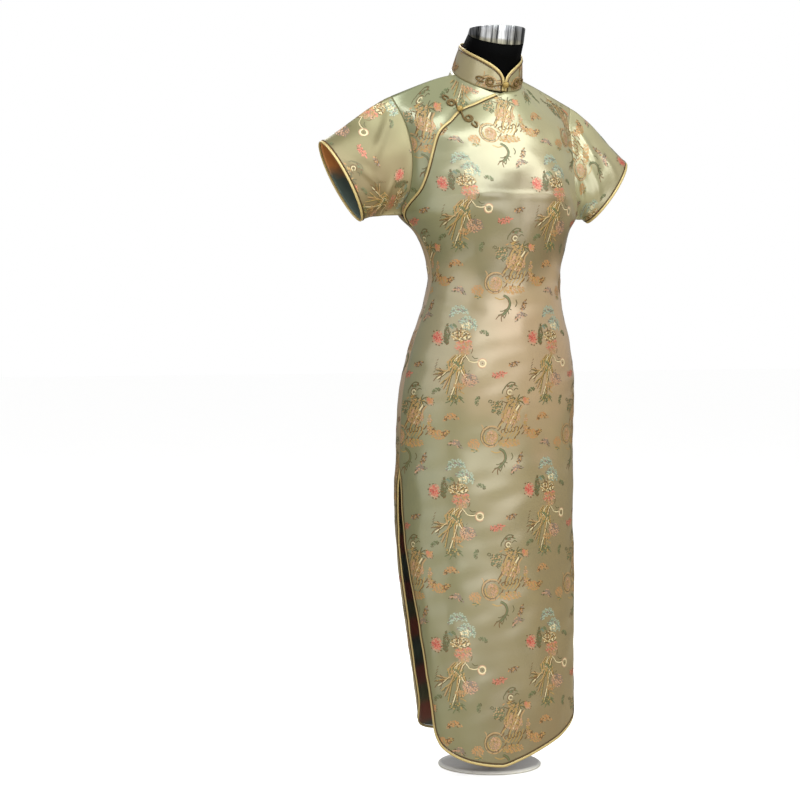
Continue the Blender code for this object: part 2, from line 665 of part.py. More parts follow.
slanted = np.flatnonzero((FRONT_U < -1e-6) & (FRONT_TOPS < FRONT_TOP - 0.0085))
slant_path = front_points[-1, slanted]
slant_up = unit(front_points[-1, 0] - front_points[-2, 0])
slant_binding = edging("Slant_Binding", slant_path, front_normals[-1, slanted],
                       np.broadcast_to((-0.5, 0, 1), slant_path.shape),
                       material("Slant Satin", SATIN, 0.35), start=slant_up)

lift = unit(upper - base) * 0.0009
ends = [collar_points[k, 0] for k in range(1, len(COLLAR_ROWS) - 1)]
collar_path = np.concatenate([
    [collar_points[0, 0] + lift[0]], ends, collar_points[-1],
    [collar_points[k, -1] for k in range(len(COLLAR_ROWS) - 2, 0, -1)], [collar_points[0, -1] + lift[-1]]])
collar_out = np.concatenate([
    collar_normals[:-1, 0], collar_normals[-1], collar_normals[-2::-1, -1]])
collar_away = np.concatenate([
    np.tile((-1.0, 0, 0.0), (len(ends) + 1, 1)), np.tile((0, 0, 1.0), (collar_points.shape[1], 1)),
    np.tile((1.0, 0, 0.0), (len(ends) + 1, 1))])
collar_away[len(ends) + 1] = (-0.7, 0, 0.7)
collar_away[-len(ends) - 2] = (0.7, 0, 0.7)
collar_binding = edging("Collar_Binding", collar_path, collar_out, collar_away,
                        material("Collar Satin", SATIN, 0.35))

# ---------------------------------------------------------------- knotted frogs
def coil_path(end=0.030, outer=0.0085, inner=0.0034, turns=1.6, count=26):
    """Cord from the knot that runs under the coil and winds in; flat, knot at the origin."""
    lead = np.stack([np.linspace(0.0049, end - 0.004, 6), np.linspace(-0.001, -outer, 6)], -1)[:-1]
    turn = np.linspace(0, 2 * np.pi * turns, count)
    radius = outer + (inner - outer) * turn / turn[-1]
    wound = np.stack([end + radius * np.sin(turn), -radius * np.cos(turn)], -1)
    return np.concatenate([lead, wound])


def leaf_path(start=0.0412, tip=0.058, half=0.0042, count=15):
    """Narrow leaf of cord beyond the coil, its two ends side by side."""
    t = np.linspace(0.08, 0.92, count) * 2 * np.pi
    middle, reach = (start + tip) / 2, (tip - start) / 2
    return np.stack([middle - reach * np.cos(t), half * np.sin(t) * (1 + 0.3 * np.cos(t))], -1)


def on_panel(flat, centre, direction, panel):
    """Flat points set on a panel round a centre (u, station), with the normals there."""
    u, h = np.full(len(flat), centre[0]), np.full(len(flat), centre[1])
    origin = panel.points(np.array([centre[0]]), np.array([centre[1]]))[0]
    n = panel.normals(np.array([centre[0]]), np.array([centre[1]]))[0]
    d = unit(np.asarray(direction, float) - n * np.dot(direction, n))
    e = np.cross(n, d)
    for _ in range(12):
        p = panel.points(u, h)
        off = flat - np.stack([(p - origin) @ d, (p - origin) @ e], -1)
        pu = (panel.points(u + 0.002, h) - p) / 0.002
        ph = (panel.points(u, h + 0.001) - p) / 0.001
        a, b, c, f = pu @ d, ph @ d, pu @ e, ph @ e
        det = a * f - b * c
        u = np.clip(u + np.clip((off[:, 0] * f - off[:, 1] * b) / det, -0.1, 0.1), -0.99, 0.99)
        h = h + np.clip((a * off[:, 1] - c * off[:, 0]) / det, -0.03, 0.03)
        h = np.minimum(h, panel.top - 0.001)
    return panel.points(u, h), panel.normals(u, h)


def on_collar(flat, side):
    """Flat points set on the collar, across from the centre front and up from the neckline."""
    angle = flat[:, 0] / 0.068 * side
    foot = neck_ring(angle)
    up = unit(leaning_ring(COLLAR_LEAN, angle, foot[:, 2]) - foot)
    round_ring = neck_ring(angle + 0.01) - neck_ring(angle - 0.01)
    n = unit(np.cross(round_ring, up))
    return foot + up * flat[:, 1:2], n


def add_knot(name, place, normal, carriers, material):
    """Round knot button, a little flattened against what it lies on."""
    depth = KNOT_RADIUS * KNOT_FLATTEN
    centre = place + normal * seat_height(place, normal, carriers, KNOT_RADIUS, depth)
    mesh = bpy.data.meshes.new(name)
    ball = bmesh.new()
    bmesh.ops.create_uvsphere(ball, u_segments=12, v_segments=7, radius=KNOT_RADIUS)
    turn = Vector(normal).to_track_quat("Z", "Y").to_matrix().to_4x4()
    place_and_flatten = Matrix.Translation(centre) @ turn @ Matrix.Diagonal((1, 1, KNOT_FLATTEN, 1))
    bmesh.ops.transform(ball, matrix=place_and_flatten, verts=ball.verts)
    ball.to_mesh(mesh)
    ball.free()
    mesh.shade_smooth()
    mesh.materials.append(material)
    PART.objects.link(bpy.data.objects.new(name, mesh))


KNOT_HEIGHT = 0.0135  # of the collar's button above the neckline
FROG_AT = (-0.440, 1.2555)  # chest frog's middle, on the slanting edge
FROG_DIRECTION = {"Upper": (-0.38, 0.62, 0.68), "Lower": (0.42, -0.55, -0.72)}

collar_carriers = surfaces(collar, collar_binding)
for side, name in ((-1, "Right"), (1, "Left")):
    for kind, flat in (("Coil", coil_path()), ("Leaf", leaf_path())):
        path, out = on_collar(flat + np.array((0, KNOT_HEIGHT + 0.002)), side)
        cord("Collar_" + kind + "_" + name, path, out, collar_carriers,
             material("Collar " + kind + " " + name + " Cord", KNOT, 0.4))
place, out = on_collar(np.array([(0.0, KNOT_HEIGHT)]), 1)
add_knot("Collar_Knot", place[0], out[0], collar_carriers, material("Collar Knot Cord", KNOT, 0.4))

chest_carriers = surfaces(front_panel, under_front, slant_binding)
for name, direction in FROG_DIRECTION.items():
    for kind, flat in (("Coil", coil_path(end=0.026)), ("Leaf", leaf_path(start=0.0372, tip=0.050))):
        path, out = on_panel(flat, FROG_AT, direction, FRONT_PANEL)
        cord("Chest_" + kind + "_" + name, path, out, chest_carriers,
             material("Chest " + kind + " " + name + " Cord", KNOT, 0.4))
place, out = on_panel(np.zeros((1, 2)), FROG_AT, FROG_DIRECTION["Upper"], FRONT_PANEL)
add_knot("Chest_Knot", place[0], out[0], chest_carriers, material("Chest Knot Cord", KNOT, 0.4))

# ---------------------------------------------------------------- dress form
FORM_U = FRONT_U
FORM_LOW = (FORM_BOTTOM, 0.70, 0.78, 0.85, 0.91, 0.955, 1.00, 1.035, UNDERARM)
FORM_HIGH = CHEST_SHARES
NECK_TILT = np.radians(20)  # the form's neck is cut square to its forward lean
NECK_END = {"centre": (0, -0.022, 1.4065), "radius": 0.0543}


def form_point(panel, other, u, station, share):
    """A panel's surface moved in by the wall and the ease; only the shoulders carry the dress."""
    p, n = panel.points(u, station), panel.normals(u, station)
    if share == 1.0:
        shoulder = np.abs(u)[:, None] > NECK_SPAN - 1e-6
        n = np.where(shoulder, unit(n + other.normals(u, np.full_like(u, other.top))), n)
    below = smooth((1 - share) / 0.35)
    inner = smooth((0.66 - np.abs(u)) / 0.16)
    ease = FORM_EASE * np.maximum(below, inner)
    return p - n * (WALL + FORM_GAP + ease)[..., None]


count = len(FORM_U)
form = []
levels = []
for station in FORM_LOW:
    at = np.full(count, station)
    front = form_point(FRONT_PANEL, BACK_PANEL, FORM_U, at, 0.0)
    rear = form_point(BACK_PANEL, FRONT_PANEL, FORM_U, at, 0.0)
    front[[0, -1]] = (front[[0, -1]] + rear[[0, -1]]) / 2
    start = len(form)
    form.extend(front)
    form.extend(rear[-2:0:-1])
    loop = list(range(start, start + 2 * count - 2))
    levels.append((loop[:count], [loop[0]] + loop[:count - 1:-1] + [loop[count - 1]]))
for share in FORM_HIGH:
    fs = np.full(count, BODY_STATIONS[-1] + share * (FRONT_TOP - BODY_STATIONS[-1]))
    bs = np.full(count, BODY_STATIONS[-1] + share * (BACK_TOP - BODY_STATIONS[-1]))
    last = share == 1.0
    front = form_point(FRONT_PANEL, BACK_PANEL, FORM_U, fs, share)
    rear = form_point(BACK_PANEL, FRONT_PANEL, FORM_U, bs, share)
    start = len(form)
    form.extend(front)
    front_ids = list(range(start, start + count))
    if last:
        rear_ids = list(front_ids)
        for c in range(count):
            if abs(FORM_U[c]) < NECK_SPAN - 1e-6:
                rear_ids[c] = len(form)
                form.append(rear[c])
    else:
        rear_ids = list(range(start + count, start + 2 * count))
        form.extend(rear)
    levels.append((front_ids, rear_ids))

faces = []
for (f0, r0), (f1, r1) in zip(levels[:-1], levels[1:]):
    for c in range(count - 1):
        faces.append((f0[c], f0[c + 1], f1[c + 1], f1[c]))
        faces.append((r0[c + 1], r0[c], r1[c], r1[c + 1]))
for edge in (0, count - 1):
    ring = [f[edge] for f, _ in levels[len(FORM_LOW) - 1:]]
    ring += [r[edge] for _, r in levels[-2:len(FORM_LOW) - 1:-1]]
    form.append(np.mean([form[i] for i in ring], 0) + np.array((0.004 * np.sign(FORM_U[edge]), 0, 0)))
    hub = len(form) - 1
    for i in range(len(ring)):
        pair = (ring[i], ring[(i + 1) % len(ring)])
        faces.append((hub,) + (pair if edge == 0 else pair[::-1]))
bottom_loop = levels[0][0] + levels[0][1][-2:0:-1]
form.append(np.mean([form[i] for i in bottom_loop], 0))
hub = len(form) - 1
for i in range(len(bottom_loop)):
    faces.append((hub, bottom_loop[(i + 1) % len(bottom_loop)], bottom_loop[i]))

neck_columns = [c for c in range(count) if abs(FORM_U[c]) < NECK_SPAN + 1e-6]
top_front, top_rear = levels[-1]
neck_loop = [top_front[c] for c in neck_columns] + [top_rear[c] for c in neck_columns[-2:0:-1]]
angles = np.concatenate([FORM_U[neck_columns], 2 * NECK_SPAN - FORM_U[neck_columns[-2:0:-1]]])
angles = angles / NECK_SPAN * np.pi / 2
foot = neck_ring(angles)
head = leaning_ring(FORM_NECK, angles, foot[:, 2])


def tilted_ring(angle, centre, radius):
    """Ring of the leaning neck, square to its lean."""
    flat = -radius * np.cos(angle)
    return np.stack([centre[0] + radius * np.sin(angle), centre[1] + flat * np.cos(NECK_TILT),
                     centre[2] + flat * np.sin(NECK_TILT)], -1)


cut = tilted_ring(angles, NECK_END["centre"], NECK_END["radius"])
rings = []
for share, inward in ((0.15, 0.0095), (0.50, 0.0062), (0.95, 0.0044)):
    centre = foot + (head - foot) * share
    flat = centre - centre.mean(0)
    rings.append(centre - unit(flat * (1, 1, 0)) * inward)
rings.append((rings[-1] + cut) / 2)
rings.append(cut)
loop = neck_loop
for ring in rings:
    start = len(form)
    form.extend(ring)
    above = list(range(start, start + len(loop)))
    for i in range(len(loop)):
        j = (i + 1) % len(loop)
        faces.append((loop[i], loop[j], above[j], above[i]))
    loop = above
form.append(cut.mean(0))
faces += [(len(form) - 1, loop[i], loop[(i + 1) % len(loop)]) for i in range(len(loop))]
add_solid("Form_Body", form, faces, material("Form Jersey", (0.012, 0.012, 0.013), 0.85))

# Metal cap on the slanting cut of the neck, with a level top.
cap_angles = np.linspace(0, 2 * np.pi, CAP_SIDES, endpoint=False)
low_ring = tilted_ring(cap_angles, NECK_END["centre"], NECK_END["radius"]) + np.array((0, 0, SEAM))
high_centre = np.array(NECK_END["centre"]) + np.array((0, -0.006, 0))
high_ring = np.stack([NECK_END["radius"] * np.sin(cap_angles),
                      high_centre[1] - NECK_END["radius"] * np.cos(NECK_TILT) * np.cos(cap_angles),
                      np.maximum(CAP_TOP, low_ring[:, 2] + CAP_RIM)], -1)
edge_ring = high_ring - np.array((0, 0, CAP_EDGE))
crown = high_ring.mean(0) + (high_ring - high_ring.mean(0)) * CROWN_SHARE
points = np.concatenate([low_ring, edge_ring, crown, [low_ring.mean(0)], [crown.mean(0)]])
faces = []
crown_start, low_hub, crown_hub = 2 * CAP_SIDES, 3 * CAP_SIDES, 3 * CAP_SIDES + 1
for i in range(CAP_SIDES):
    j = (i + 1) % CAP_SIDES
    for level in (0, CAP_SIDES):
        faces.append((level + i, level + j, level + CAP_SIDES + j, level + CAP_SIDES + i))
    faces.append((low_hub, j, i))
    faces.append((crown_hub, crown_start + i, crown_start + j))
add_solid("Neck_Cap", points, faces, material("Cap Metal", (0.75, 0.76, 0.78), 0.2, 1.0), False)


# ---------------------------------------------------------------- stand
def turned(name, profile, material, steps):
    """Solid of revolution about Z from (radius, height) pairs, top to bottom on the axis."""
    mesh = bpy.data.meshes.new(name)
    edges = [(i, i + 1) for i in range(len(profile) - 1)]
    mesh.from_pydata([(radius, 0, height) for radius, height in profile], edges, [])
    mesh.materials.append(material)
    solid = bpy.data.objects.new(name, mesh)
    PART.objects.link(solid)
    screw = solid.modifiers.new("Turn", "SCREW")
    screw.steps = steps
    screw.render_steps = steps
    screw.use_merge_vertices = True
    screw.merge_threshold = 0.00001
    screw.use_smooth_shade = False


POLE_FOOT = BASE_HEIGHT + SEAM
POLE_TOP = FORM_BOTTOM - SEAM
COLLAR_RADIUS = 0.019  # the ring at the pole's foot
turned("Pole", ((0, POLE_TOP), (POLE_RADIUS, POLE_TOP), (POLE_RADIUS, POLE_FOOT + 0.014),
                (COLLAR_RADIUS, POLE_FOOT + 0.010), (COLLAR_RADIUS, POLE_FOOT), (0, POLE_FOOT)),
       material("Pole Metal", (0.72, 0.72, 0.73), 0.25, 1.0), 24)
turned("Base", ((0, BASE_HEIGHT), (BASE_RADIUS - 0.004, BASE_HEIGHT), (BASE_RADIUS, BASE_HEIGHT - 0.003),
                (BASE_RADIUS, 0.002), (BASE_RADIUS - 0.002, 0), (0, 0)),
       material("Base Lacquer", (0.80, 0.80, 0.78), 0.35), 48)
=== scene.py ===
"""Looks of a cheongsam dress on its dress form: creased brocade with woven figures, satin rolls
with a dark cord, knotted frogs, and the padded form with its metal cap, pole and base.

Metres, Z up. The front faces -Y and the wearer's left is +X.
"""

import math

import bmesh
import bpy
import numpy as np
from mathutils import Matrix, Vector
from mathutils.bvhtree import BVHTree


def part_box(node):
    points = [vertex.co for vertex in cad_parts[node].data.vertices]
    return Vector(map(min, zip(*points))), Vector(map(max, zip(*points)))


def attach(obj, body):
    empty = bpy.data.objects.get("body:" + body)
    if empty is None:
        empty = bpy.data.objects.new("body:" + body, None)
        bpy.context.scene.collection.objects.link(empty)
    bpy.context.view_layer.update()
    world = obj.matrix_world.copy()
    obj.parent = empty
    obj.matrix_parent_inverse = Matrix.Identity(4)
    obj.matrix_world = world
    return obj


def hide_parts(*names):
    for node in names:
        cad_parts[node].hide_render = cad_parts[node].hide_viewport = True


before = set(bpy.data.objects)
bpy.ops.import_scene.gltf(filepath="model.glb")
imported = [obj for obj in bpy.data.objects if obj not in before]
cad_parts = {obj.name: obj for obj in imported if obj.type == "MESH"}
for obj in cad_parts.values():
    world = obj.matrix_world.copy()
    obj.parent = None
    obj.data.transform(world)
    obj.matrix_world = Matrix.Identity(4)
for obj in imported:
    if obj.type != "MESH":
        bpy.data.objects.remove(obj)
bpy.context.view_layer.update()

# ---------------------------------------------------------------- sizes shared with the solids
WALL = 0.0018
SEAM = 0.0003
BIND_WIDTH = 0.0052
BIND_RISE = 0.0009
UNDERARM = 1.065
SLIT_TOP = 0.587
BINDING_TOP = 0.589  # the rolls narrow from BINDING_FULL up to here
BINDING_FULL = 0.569
HEM_FRONT = 0.024
HEM_BACK = 0.062
HEM_RISE = 0.056
LEFT_HEM_START = -0.15
LEFT_HEM_RISE = 0.085
HEM_CURVE = 2.2
LEFT_HEM_CURVE = 1.1
CORNER = 0.028
HALF_PANEL = 0.20
COLLAR_SIDE_HEIGHT = 0.049
COLLAR_BACK_HEIGHT = 0.037
COLLAR_END_HEIGHT = 0.018
COLLAR_CURVE = 0.070
COLLAR_LOWERS = 1.2
COLLAR_LEAN = {"radius": 0.0580, "centre_y": -0.0066, "rise": 0.055}
UNDER_INSET = 0.0043
UNDERLAP = 0.003
UNDER_SEAM = 0.0008
INSET_FULL = 0.007  # how near the slanting edge the under front lies fully in
INSET_FADE = 0.030
FRONT_TOP = 1.300
BACK_TOP = 1.350
NECK_SPAN = 0.42
CORD = 0.0014
KNOT_RADIUS = 0.0062
KNOT_FLATTEN = 0.8

# Cross-sections of the front and the back, hem to chest, as in the solids.
FRONT = {
    "station": (-0.02, 0.085, 0.285, 0.429, 0.499, 0.565, 0.587, 0.615, 0.665, 0.745, 0.825, 0.895,
                0.950, 1.005, 1.040, UNDERARM, 1.115, 1.180, 1.240),
    "half_width": (0.146, 0.150, 0.166, 0.178, 0.181, 0.183, 0.184, 0.184, 0.184, 0.180, 0.164, 0.142,
                   0.133, 0.145, 0.161, 0.183, 0.177, 0.173, 0.179),
    "edge_y": (-0.068, -0.065, -0.031, 0.002, 0.013, 0.0160, 0.0215, 0.0210, 0.018, 0.010, 0.000, -0.008,
               -0.014, -0.010, 0.004, 0.019, -0.008, -0.012, 0.006),
    "centre_y": (-0.120, -0.118, -0.110, -0.105, -0.104, -0.103, -0.103, -0.102, -0.104, -0.111, -0.116,
                 -0.118, -0.122, -0.128, -0.131, -0.132, -0.129, -0.112, -0.086),
    "sweep": (78, 80, 86, 90, 90, 90, 90, 90, 90, 90, 90, 90, 90, 90, 90, 90, 82, 74, 68),
}
BACK = {
    "station": (0.01, 0.085, 0.285, 0.429, 0.499, 0.565, 0.587, 0.615, 0.665, 0.745, 0.825, 0.895,
                0.950, 1.005, 1.040, UNDERARM, 1.115, 1.180, 1.240, 1.300),
    "half_width": (0.144, 0.148, 0.164, 0.177, 0.181, 0.183, 0.184, 0.184, 0.184, 0.180, 0.164, 0.142,
                   0.133, 0.145, 0.161, 0.183, 0.178, 0.175, 0.182, 0.191),
    "edge_y": (-0.002, 0.000, 0.027, 0.040, 0.039, 0.0305, 0.0215, 0.0210, 0.018, 0.010, 0.000, -0.008,
               -0.014, -0.010, 0.004, 0.019, 0.060, 0.076, 0.068, 0.050),
    "centre_y": (0.102, 0.106, 0.123, 0.134, 0.137, 0.139, 0.139, 0.140, 0.138, 0.126, 0.108, 0.092,
                 0.084, 0.090, 0.098, 0.105, 0.113, 0.119, 0.117, 0.106),
    "sweep": (82, 84, 90, 90, 90, 90, 90, 90, 90, 90, 90, 90, 90, 90, 90, 90, 78, 66, 58, 60),
}
BACK_EDGE_DROP = {1.300: 0.030}
NECK = {"centre_y": 0.015, "radius_x": 0.0675, "radius_y": 0.070, "front_z": 1.301, "slope": 0.50}
SHOULDER_TIP = {-1: (0.196, 0.033, 1.293), 1: (0.196, 0.033, 1.287)}
SHOULDER_RISE = {-1: 0.006, 1: 0.002}
BUST = {"x": 0.082, "z": 1.100, "swell": 0.012, "half_x": 0.052, "half_z": 0.060}
SLANT = {
    "across": (-1.0, -0.85, -0.75, -0.5, -0.25, 0.0),
    "station": (1.045, 1.100, 1.180, 1.245, 1.270, FRONT_TOP),
}
CUFF = {
    -1: {"top": (-0.339, 0.035, 1.203), "bottom": (-0.263, 0.020, 1.055), "half_depth": 0.038},
    1: {"top": (0.320, 0.032, 1.186), "bottom": (0.222, 0.014, 1.062), "half_depth": 0.038},
}

# ---------------------------------------------------------------- sizes of the creases
# Body creases: panel, where each starts and ends (across, station), half width and height in metres.
# A negative height is a trough.
BODY_CREASES = {
    "panel": ("front",) * 26 + ("back",) * 12,
    "from_across": (-0.55, 0.00, 0.90, 0.95, 0.95, -0.95, -0.95, -0.55, 0.60, -0.30, 0.95,
                    -0.93, -0.95, 0.90, 0.92, -0.60, 0.15, -0.25, 0.55, -0.80, 0.75, -0.10,
                    -0.40, -0.10, 0.20, 0.00,
                    -0.95, 0.95, -0.95, 0.95, -0.50, 0.45, 0.00, -0.30, 0.25, -0.70, 0.70, 0.05),
    "from_station": (1.10, 1.10, 1.25, 1.23, 1.11, 0.95, 0.91, 1.21, 1.23, 0.90, 0.93,
                     0.800, 0.700, 0.760, 0.660, 0.300, 0.380, 0.520, 0.250, 0.480, 0.440, 0.120,
                     1.17, 1.21, 1.13, 1.25,
                     0.960, 0.950, 0.900, 0.890, 1.250, 1.250, 0.960, 0.600, 0.520, 0.300, 0.340, 0.300),
    "to_across": (0.05, 0.60, 0.65, 0.80, 0.50, -0.45, -0.35, -0.10, 0.20, 0.35, 0.40,
                  -0.50, -0.45, 0.35, 0.40, -0.50, 0.30, -0.40, 0.45, -0.86, 0.84, -0.15,
                  0.05, 0.40, 0.55, -0.25,
                  -0.30, 0.30, -0.40, 0.40, -0.15, 0.15, 0.05, -0.40, 0.38, -0.60, 0.55, -0.05),
    "to_station": (1.10, 1.10, 1.11, 1.12, 1.09, 0.985, 0.880, 1.150, 1.160, 0.895, 0.965,
                   0.770, 0.715, 0.745, 0.690, 0.080, 0.120, 0.300, 0.060, 0.200, 0.180, 0.040,
                   1.14, 1.18, 1.16, 1.22,
                   0.985, 0.990, 0.870, 0.875, 1.190, 1.180, 0.860, 0.250, 0.200, 0.090, 0.110, 0.080),
    "width": (0.009, 0.009, 0.010, 0.009, 0.010, 0.012, 0.011, 0.022, 0.020, 0.014, 0.012,
              0.014, 0.012, 0.014, 0.013, 0.024, 0.022, 0.026, 0.020, 0.018, 0.018, 0.020,
              0.016, 0.013, 0.014, 0.011,
              0.014, 0.014, 0.012, 0.012, 0.020, 0.020, 0.016, 0.028, 0.026, 0.022, 0.022, 0.024),
    "height": (0.0026, 0.0026, 0.0042, -0.0030, 0.0018, 0.0020, -0.0018, 0.0018, 0.0016, -0.0014, 0.0018,
               0.0017, -0.0014, 0.0015, -0.0014, 0.0022, 0.0020, -0.0018, 0.0022, 0.0018, 0.0018, 0.0016,
               0.0012, -0.0010, 0.0013, -0.0011,
               0.0020, 0.0020, -0.0016, -0.0016, 0.0014, 0.0014, -0.0016, 0.0018, 0.0018, 0.0018, 0.0018,
               -0.0014),
}

# Sleeve creases: side, where each starts and ends (around from the underarm up the front, along).
# The near sleeve has a long pull from the shoulder tip down its front with a shadow on the cuff's
# side, a drag from the cuff to the lower middle and a short fold by the underarm. The far one hangs
# in soft drops. The last three rows of each side are the hidden back's.
SLEEVE_CREASES = {
    "side": (-1,) * 9 + (1,) * 7,
    "from_around": (0.48, 0.44, 0.32, 0.07, 0.28, 0.12, 0.62, 0.82, 0.70,
                    0.42, 0.30, 0.22, 0.36, 0.60, 0.84, 0.74),
    "from_along": (0.04, 0.22, 0.92, 0.62, 0.70, 0.48, 0.10, 0.25, 0.55,
                   0.12, 0.25, 0.15, 0.55, 0.12, 0.20, 0.60),
    "to_around": (0.26, 0.33, 0.14, 0.17, 0.22, 0.08, 0.72, 0.90, 0.66,
                  0.28, 0.18, 0.12, 0.30, 0.70, 0.88, 0.70),
    "to_along": (0.62, 0.50, 0.52, 0.34, 0.56, 0.70, 0.50, 0.62, 0.85,
                 0.55, 0.80, 0.45, 0.92, 0.55, 0.60, 0.90),
    "width": (0.009, 0.012, 0.006, 0.006, 0.005, 0.007, 0.012, 0.010, 0.009,
              0.009, 0.008, 0.007, 0.007, 0.012, 0.010, 0.009),
    "height": (0.0045, -0.003, 0.003, 0.003, -0.002, -0.002, 0.003, -0.003, 0.002,
               0.004, 0.003, -0.003, 0.003, 0.003, -0.003, 0.002),
}
SLEEVE_AROUND = 0.42  # rough way round a sleeve
SLEEVE_LENGTH = 0.15
TROUGH_DEPTH = 0.3  # share of a ridge's height, over TROUGH_WIDTH times its width
TROUGH_WIDTH = 2.2
SEAM_HOLD = 0.012  # how far from a seam the cloth starts to move
TOP_HOLD = 0.03
SLEEVE_HOLD = 0.12  # share of the sleeve's length at each end

# Fine unevenness of the hanging cloth: cycles per metre across and up, phase, height.
RIPPLES = {
    "across": (9.0, 14.0, -11.0, 23.0, -5.0),
    "up": (5.0, -12.0, 17.0, 8.0, 28.0),
    "phase": (0.3, 1.7, 4.0, 2.2, 5.1),
    "height": (0.00035, 0.00024, 0.00020, 0.00011, 0.00010),
}

# ---------------------------------------------------------------- colours (sRGB, 0 to 255)
SATIN_FACE = (172, 163, 130)
# Greener ground tone: random patches, plus a painted sheen shift that grows towards one side of each piece
# (the wearer's right on the front).
GREEN_GROUND_AND_SHEEN = (112, 119, 88)
# Painted shade and light of the satin ground by height up the cloth: darker low on the skirt and in a band at
# the waist under the bust, lighter over the belly and the chest.
GROUND_PAINTED_LIGHT = ((0.0, (124, 106, 74)), (0.25, (134, 118, 84)), (0.42, (144, 128, 94)),
                (0.55, (170, 144, 114)),
                (0.66, (172, 148, 118)), (0.74, (122, 104, 74)), (0.81, (150, 138, 104)),
                (1.0, (164, 160, 124)))
PAINTED_LIGHT_HEIGHT = 1.35  # height of cloth that the ground's painted shade and light run over
REVERSE_BANDS = ((0.00, (70, 92, 84)), (0.14, (60, 82, 78)), (0.20, (150, 66, 44)), (0.36, (156, 70, 50)),
                 (0.42, (88, 92, 56)), (0.58, (70, 84, 58)), (0.64, (128, 48, 44)), (0.80, (138, 58, 46)),
                 (0.86, (46, 60, 50)), (1.00, (70, 92, 84)))
SLEEVE_REVERSE_TONES = ((76, 92, 88), (204, 136, 78))
SLEEVE_BAND = 1.150  # height where a sleeve's reverse turns from teal to tan
THREADS = {
    "gold": (162, 132, 76),
    "tan": (164, 132, 90),
    "brown": (104, 76, 42),
    "bronze": (90, 84, 52),
    "orange": (176, 128, 80),
    "coral": (186, 110, 90),
    "red": (172, 66, 58),
    "pink": (180, 138, 112),
    "green": (96, 104, 70),
    "teal": (104, 124, 110),
    "pale_blue": (150, 164, 146),
    "cream": (208, 192, 154),
    "violet": (128, 110, 100),
}
THREAD_ORDER = tuple(THREADS)


# ---------------------------------------------------------------- curves and surfaces
def spline(stations, values, at):
    """Smooth curve through rows of values, sloping at each row as its neighbours do."""
    s = np.asarray(stations, float)
    v = np.asarray(values, float).reshape(len(s), -1)
    step = np.diff(s)
    rise = np.diff(v, axis=0) / step[:, None]
    slope = np.empty_like(v)
    slope[0], slope[-1] = rise[0], rise[-1]
    blend = (step[1:] / (step[1:] + step[:-1]))[:, None]
    slope[1:-1] = rise[:-1] * blend + rise[1:] * (1 - blend)
    at = np.asarray(at, float)
    i = np.clip(np.searchsorted(s, at) - 1, 0, len(s) - 2)
    t = ((at - s[i]) / step[i])[:, None]
    d = step[i][:, None]
    p, q, a, b = v[i], v[i + 1], slope[i] * d, slope[i + 1] * d
    return (p + t * a + t * t * (3 * (q - p) - 2 * a - b) + t**3 * (2 * (p - q) + a + b)).reshape(
        at.shape + np.shape(values)[1:]
    )


def unit(v):
    return v / np.maximum(np.linalg.norm(v, axis=-1, keepdims=True), 1e-12)


def smooth(t):
    t = np.clip(t, 0, 1)
    return t * t * (3 - 2 * t)


def lengths(path):
    """Distance along a path at each of its points."""
    return np.append(0, np.cumsum(np.linalg.norm(np.diff(path, axis=0), axis=1)))


def neck_ring(angle):
    """Point of the neckline; angle 0 is the centre front and grows towards the left."""
    x = NECK["radius_x"] * np.sin(angle)
    y = NECK["centre_y"] - NECK["radius_y"] * np.cos(angle)
    low = NECK["centre_y"] - NECK["radius_y"]
    return np.stack([x, y, NECK["front_z"] + NECK["slope"] * (y - low)], -1)


def top_edge(u, front):
    """Top of a body panel: neckline in the middle, a shoulder seam on each side."""
    u = np.asarray(u, float)
    side = np.where(u < 0, -1, 1)
    inner = np.clip(np.abs(u) / NECK_SPAN, 0, 1)
    angle = side * inner * np.pi / 2
    ring = neck_ring(angle if front else side * np.pi - angle)
    tip = np.where(side[..., None] < 0, np.array((-1, 1, 1)) * SHOULDER_TIP[-1], SHOULDER_TIP[1])
    root = neck_ring(side * np.pi / 2)
    out = np.clip((np.abs(u) - NECK_SPAN) / (1 - NECK_SPAN), 0, None)[..., None]
    rise = np.where(side < 0, SHOULDER_RISE[-1], SHOULDER_RISE[1])[..., None]
    arch = np.sin(np.pi * np.clip(out, 0, 1) ** 0.6) * np.array((0, 0, 1))
    seam = root + (tip - root) * out + rise * arch
    return np.where((out > 0), seam, ring)


def swell(point):
    """Forward fullness over the bust."""
    x, z = point[..., 0], point[..., 2]
    across = np.exp(-(((np.abs(x) - BUST["x"]) / BUST["half_x"]) ** 2))
    height = np.exp(-(((z - BUST["z"]) / BUST["half_z"]) ** 2))
    out = point.copy()
    out[..., 1] -= BUST["swell"] * across * height
    return out


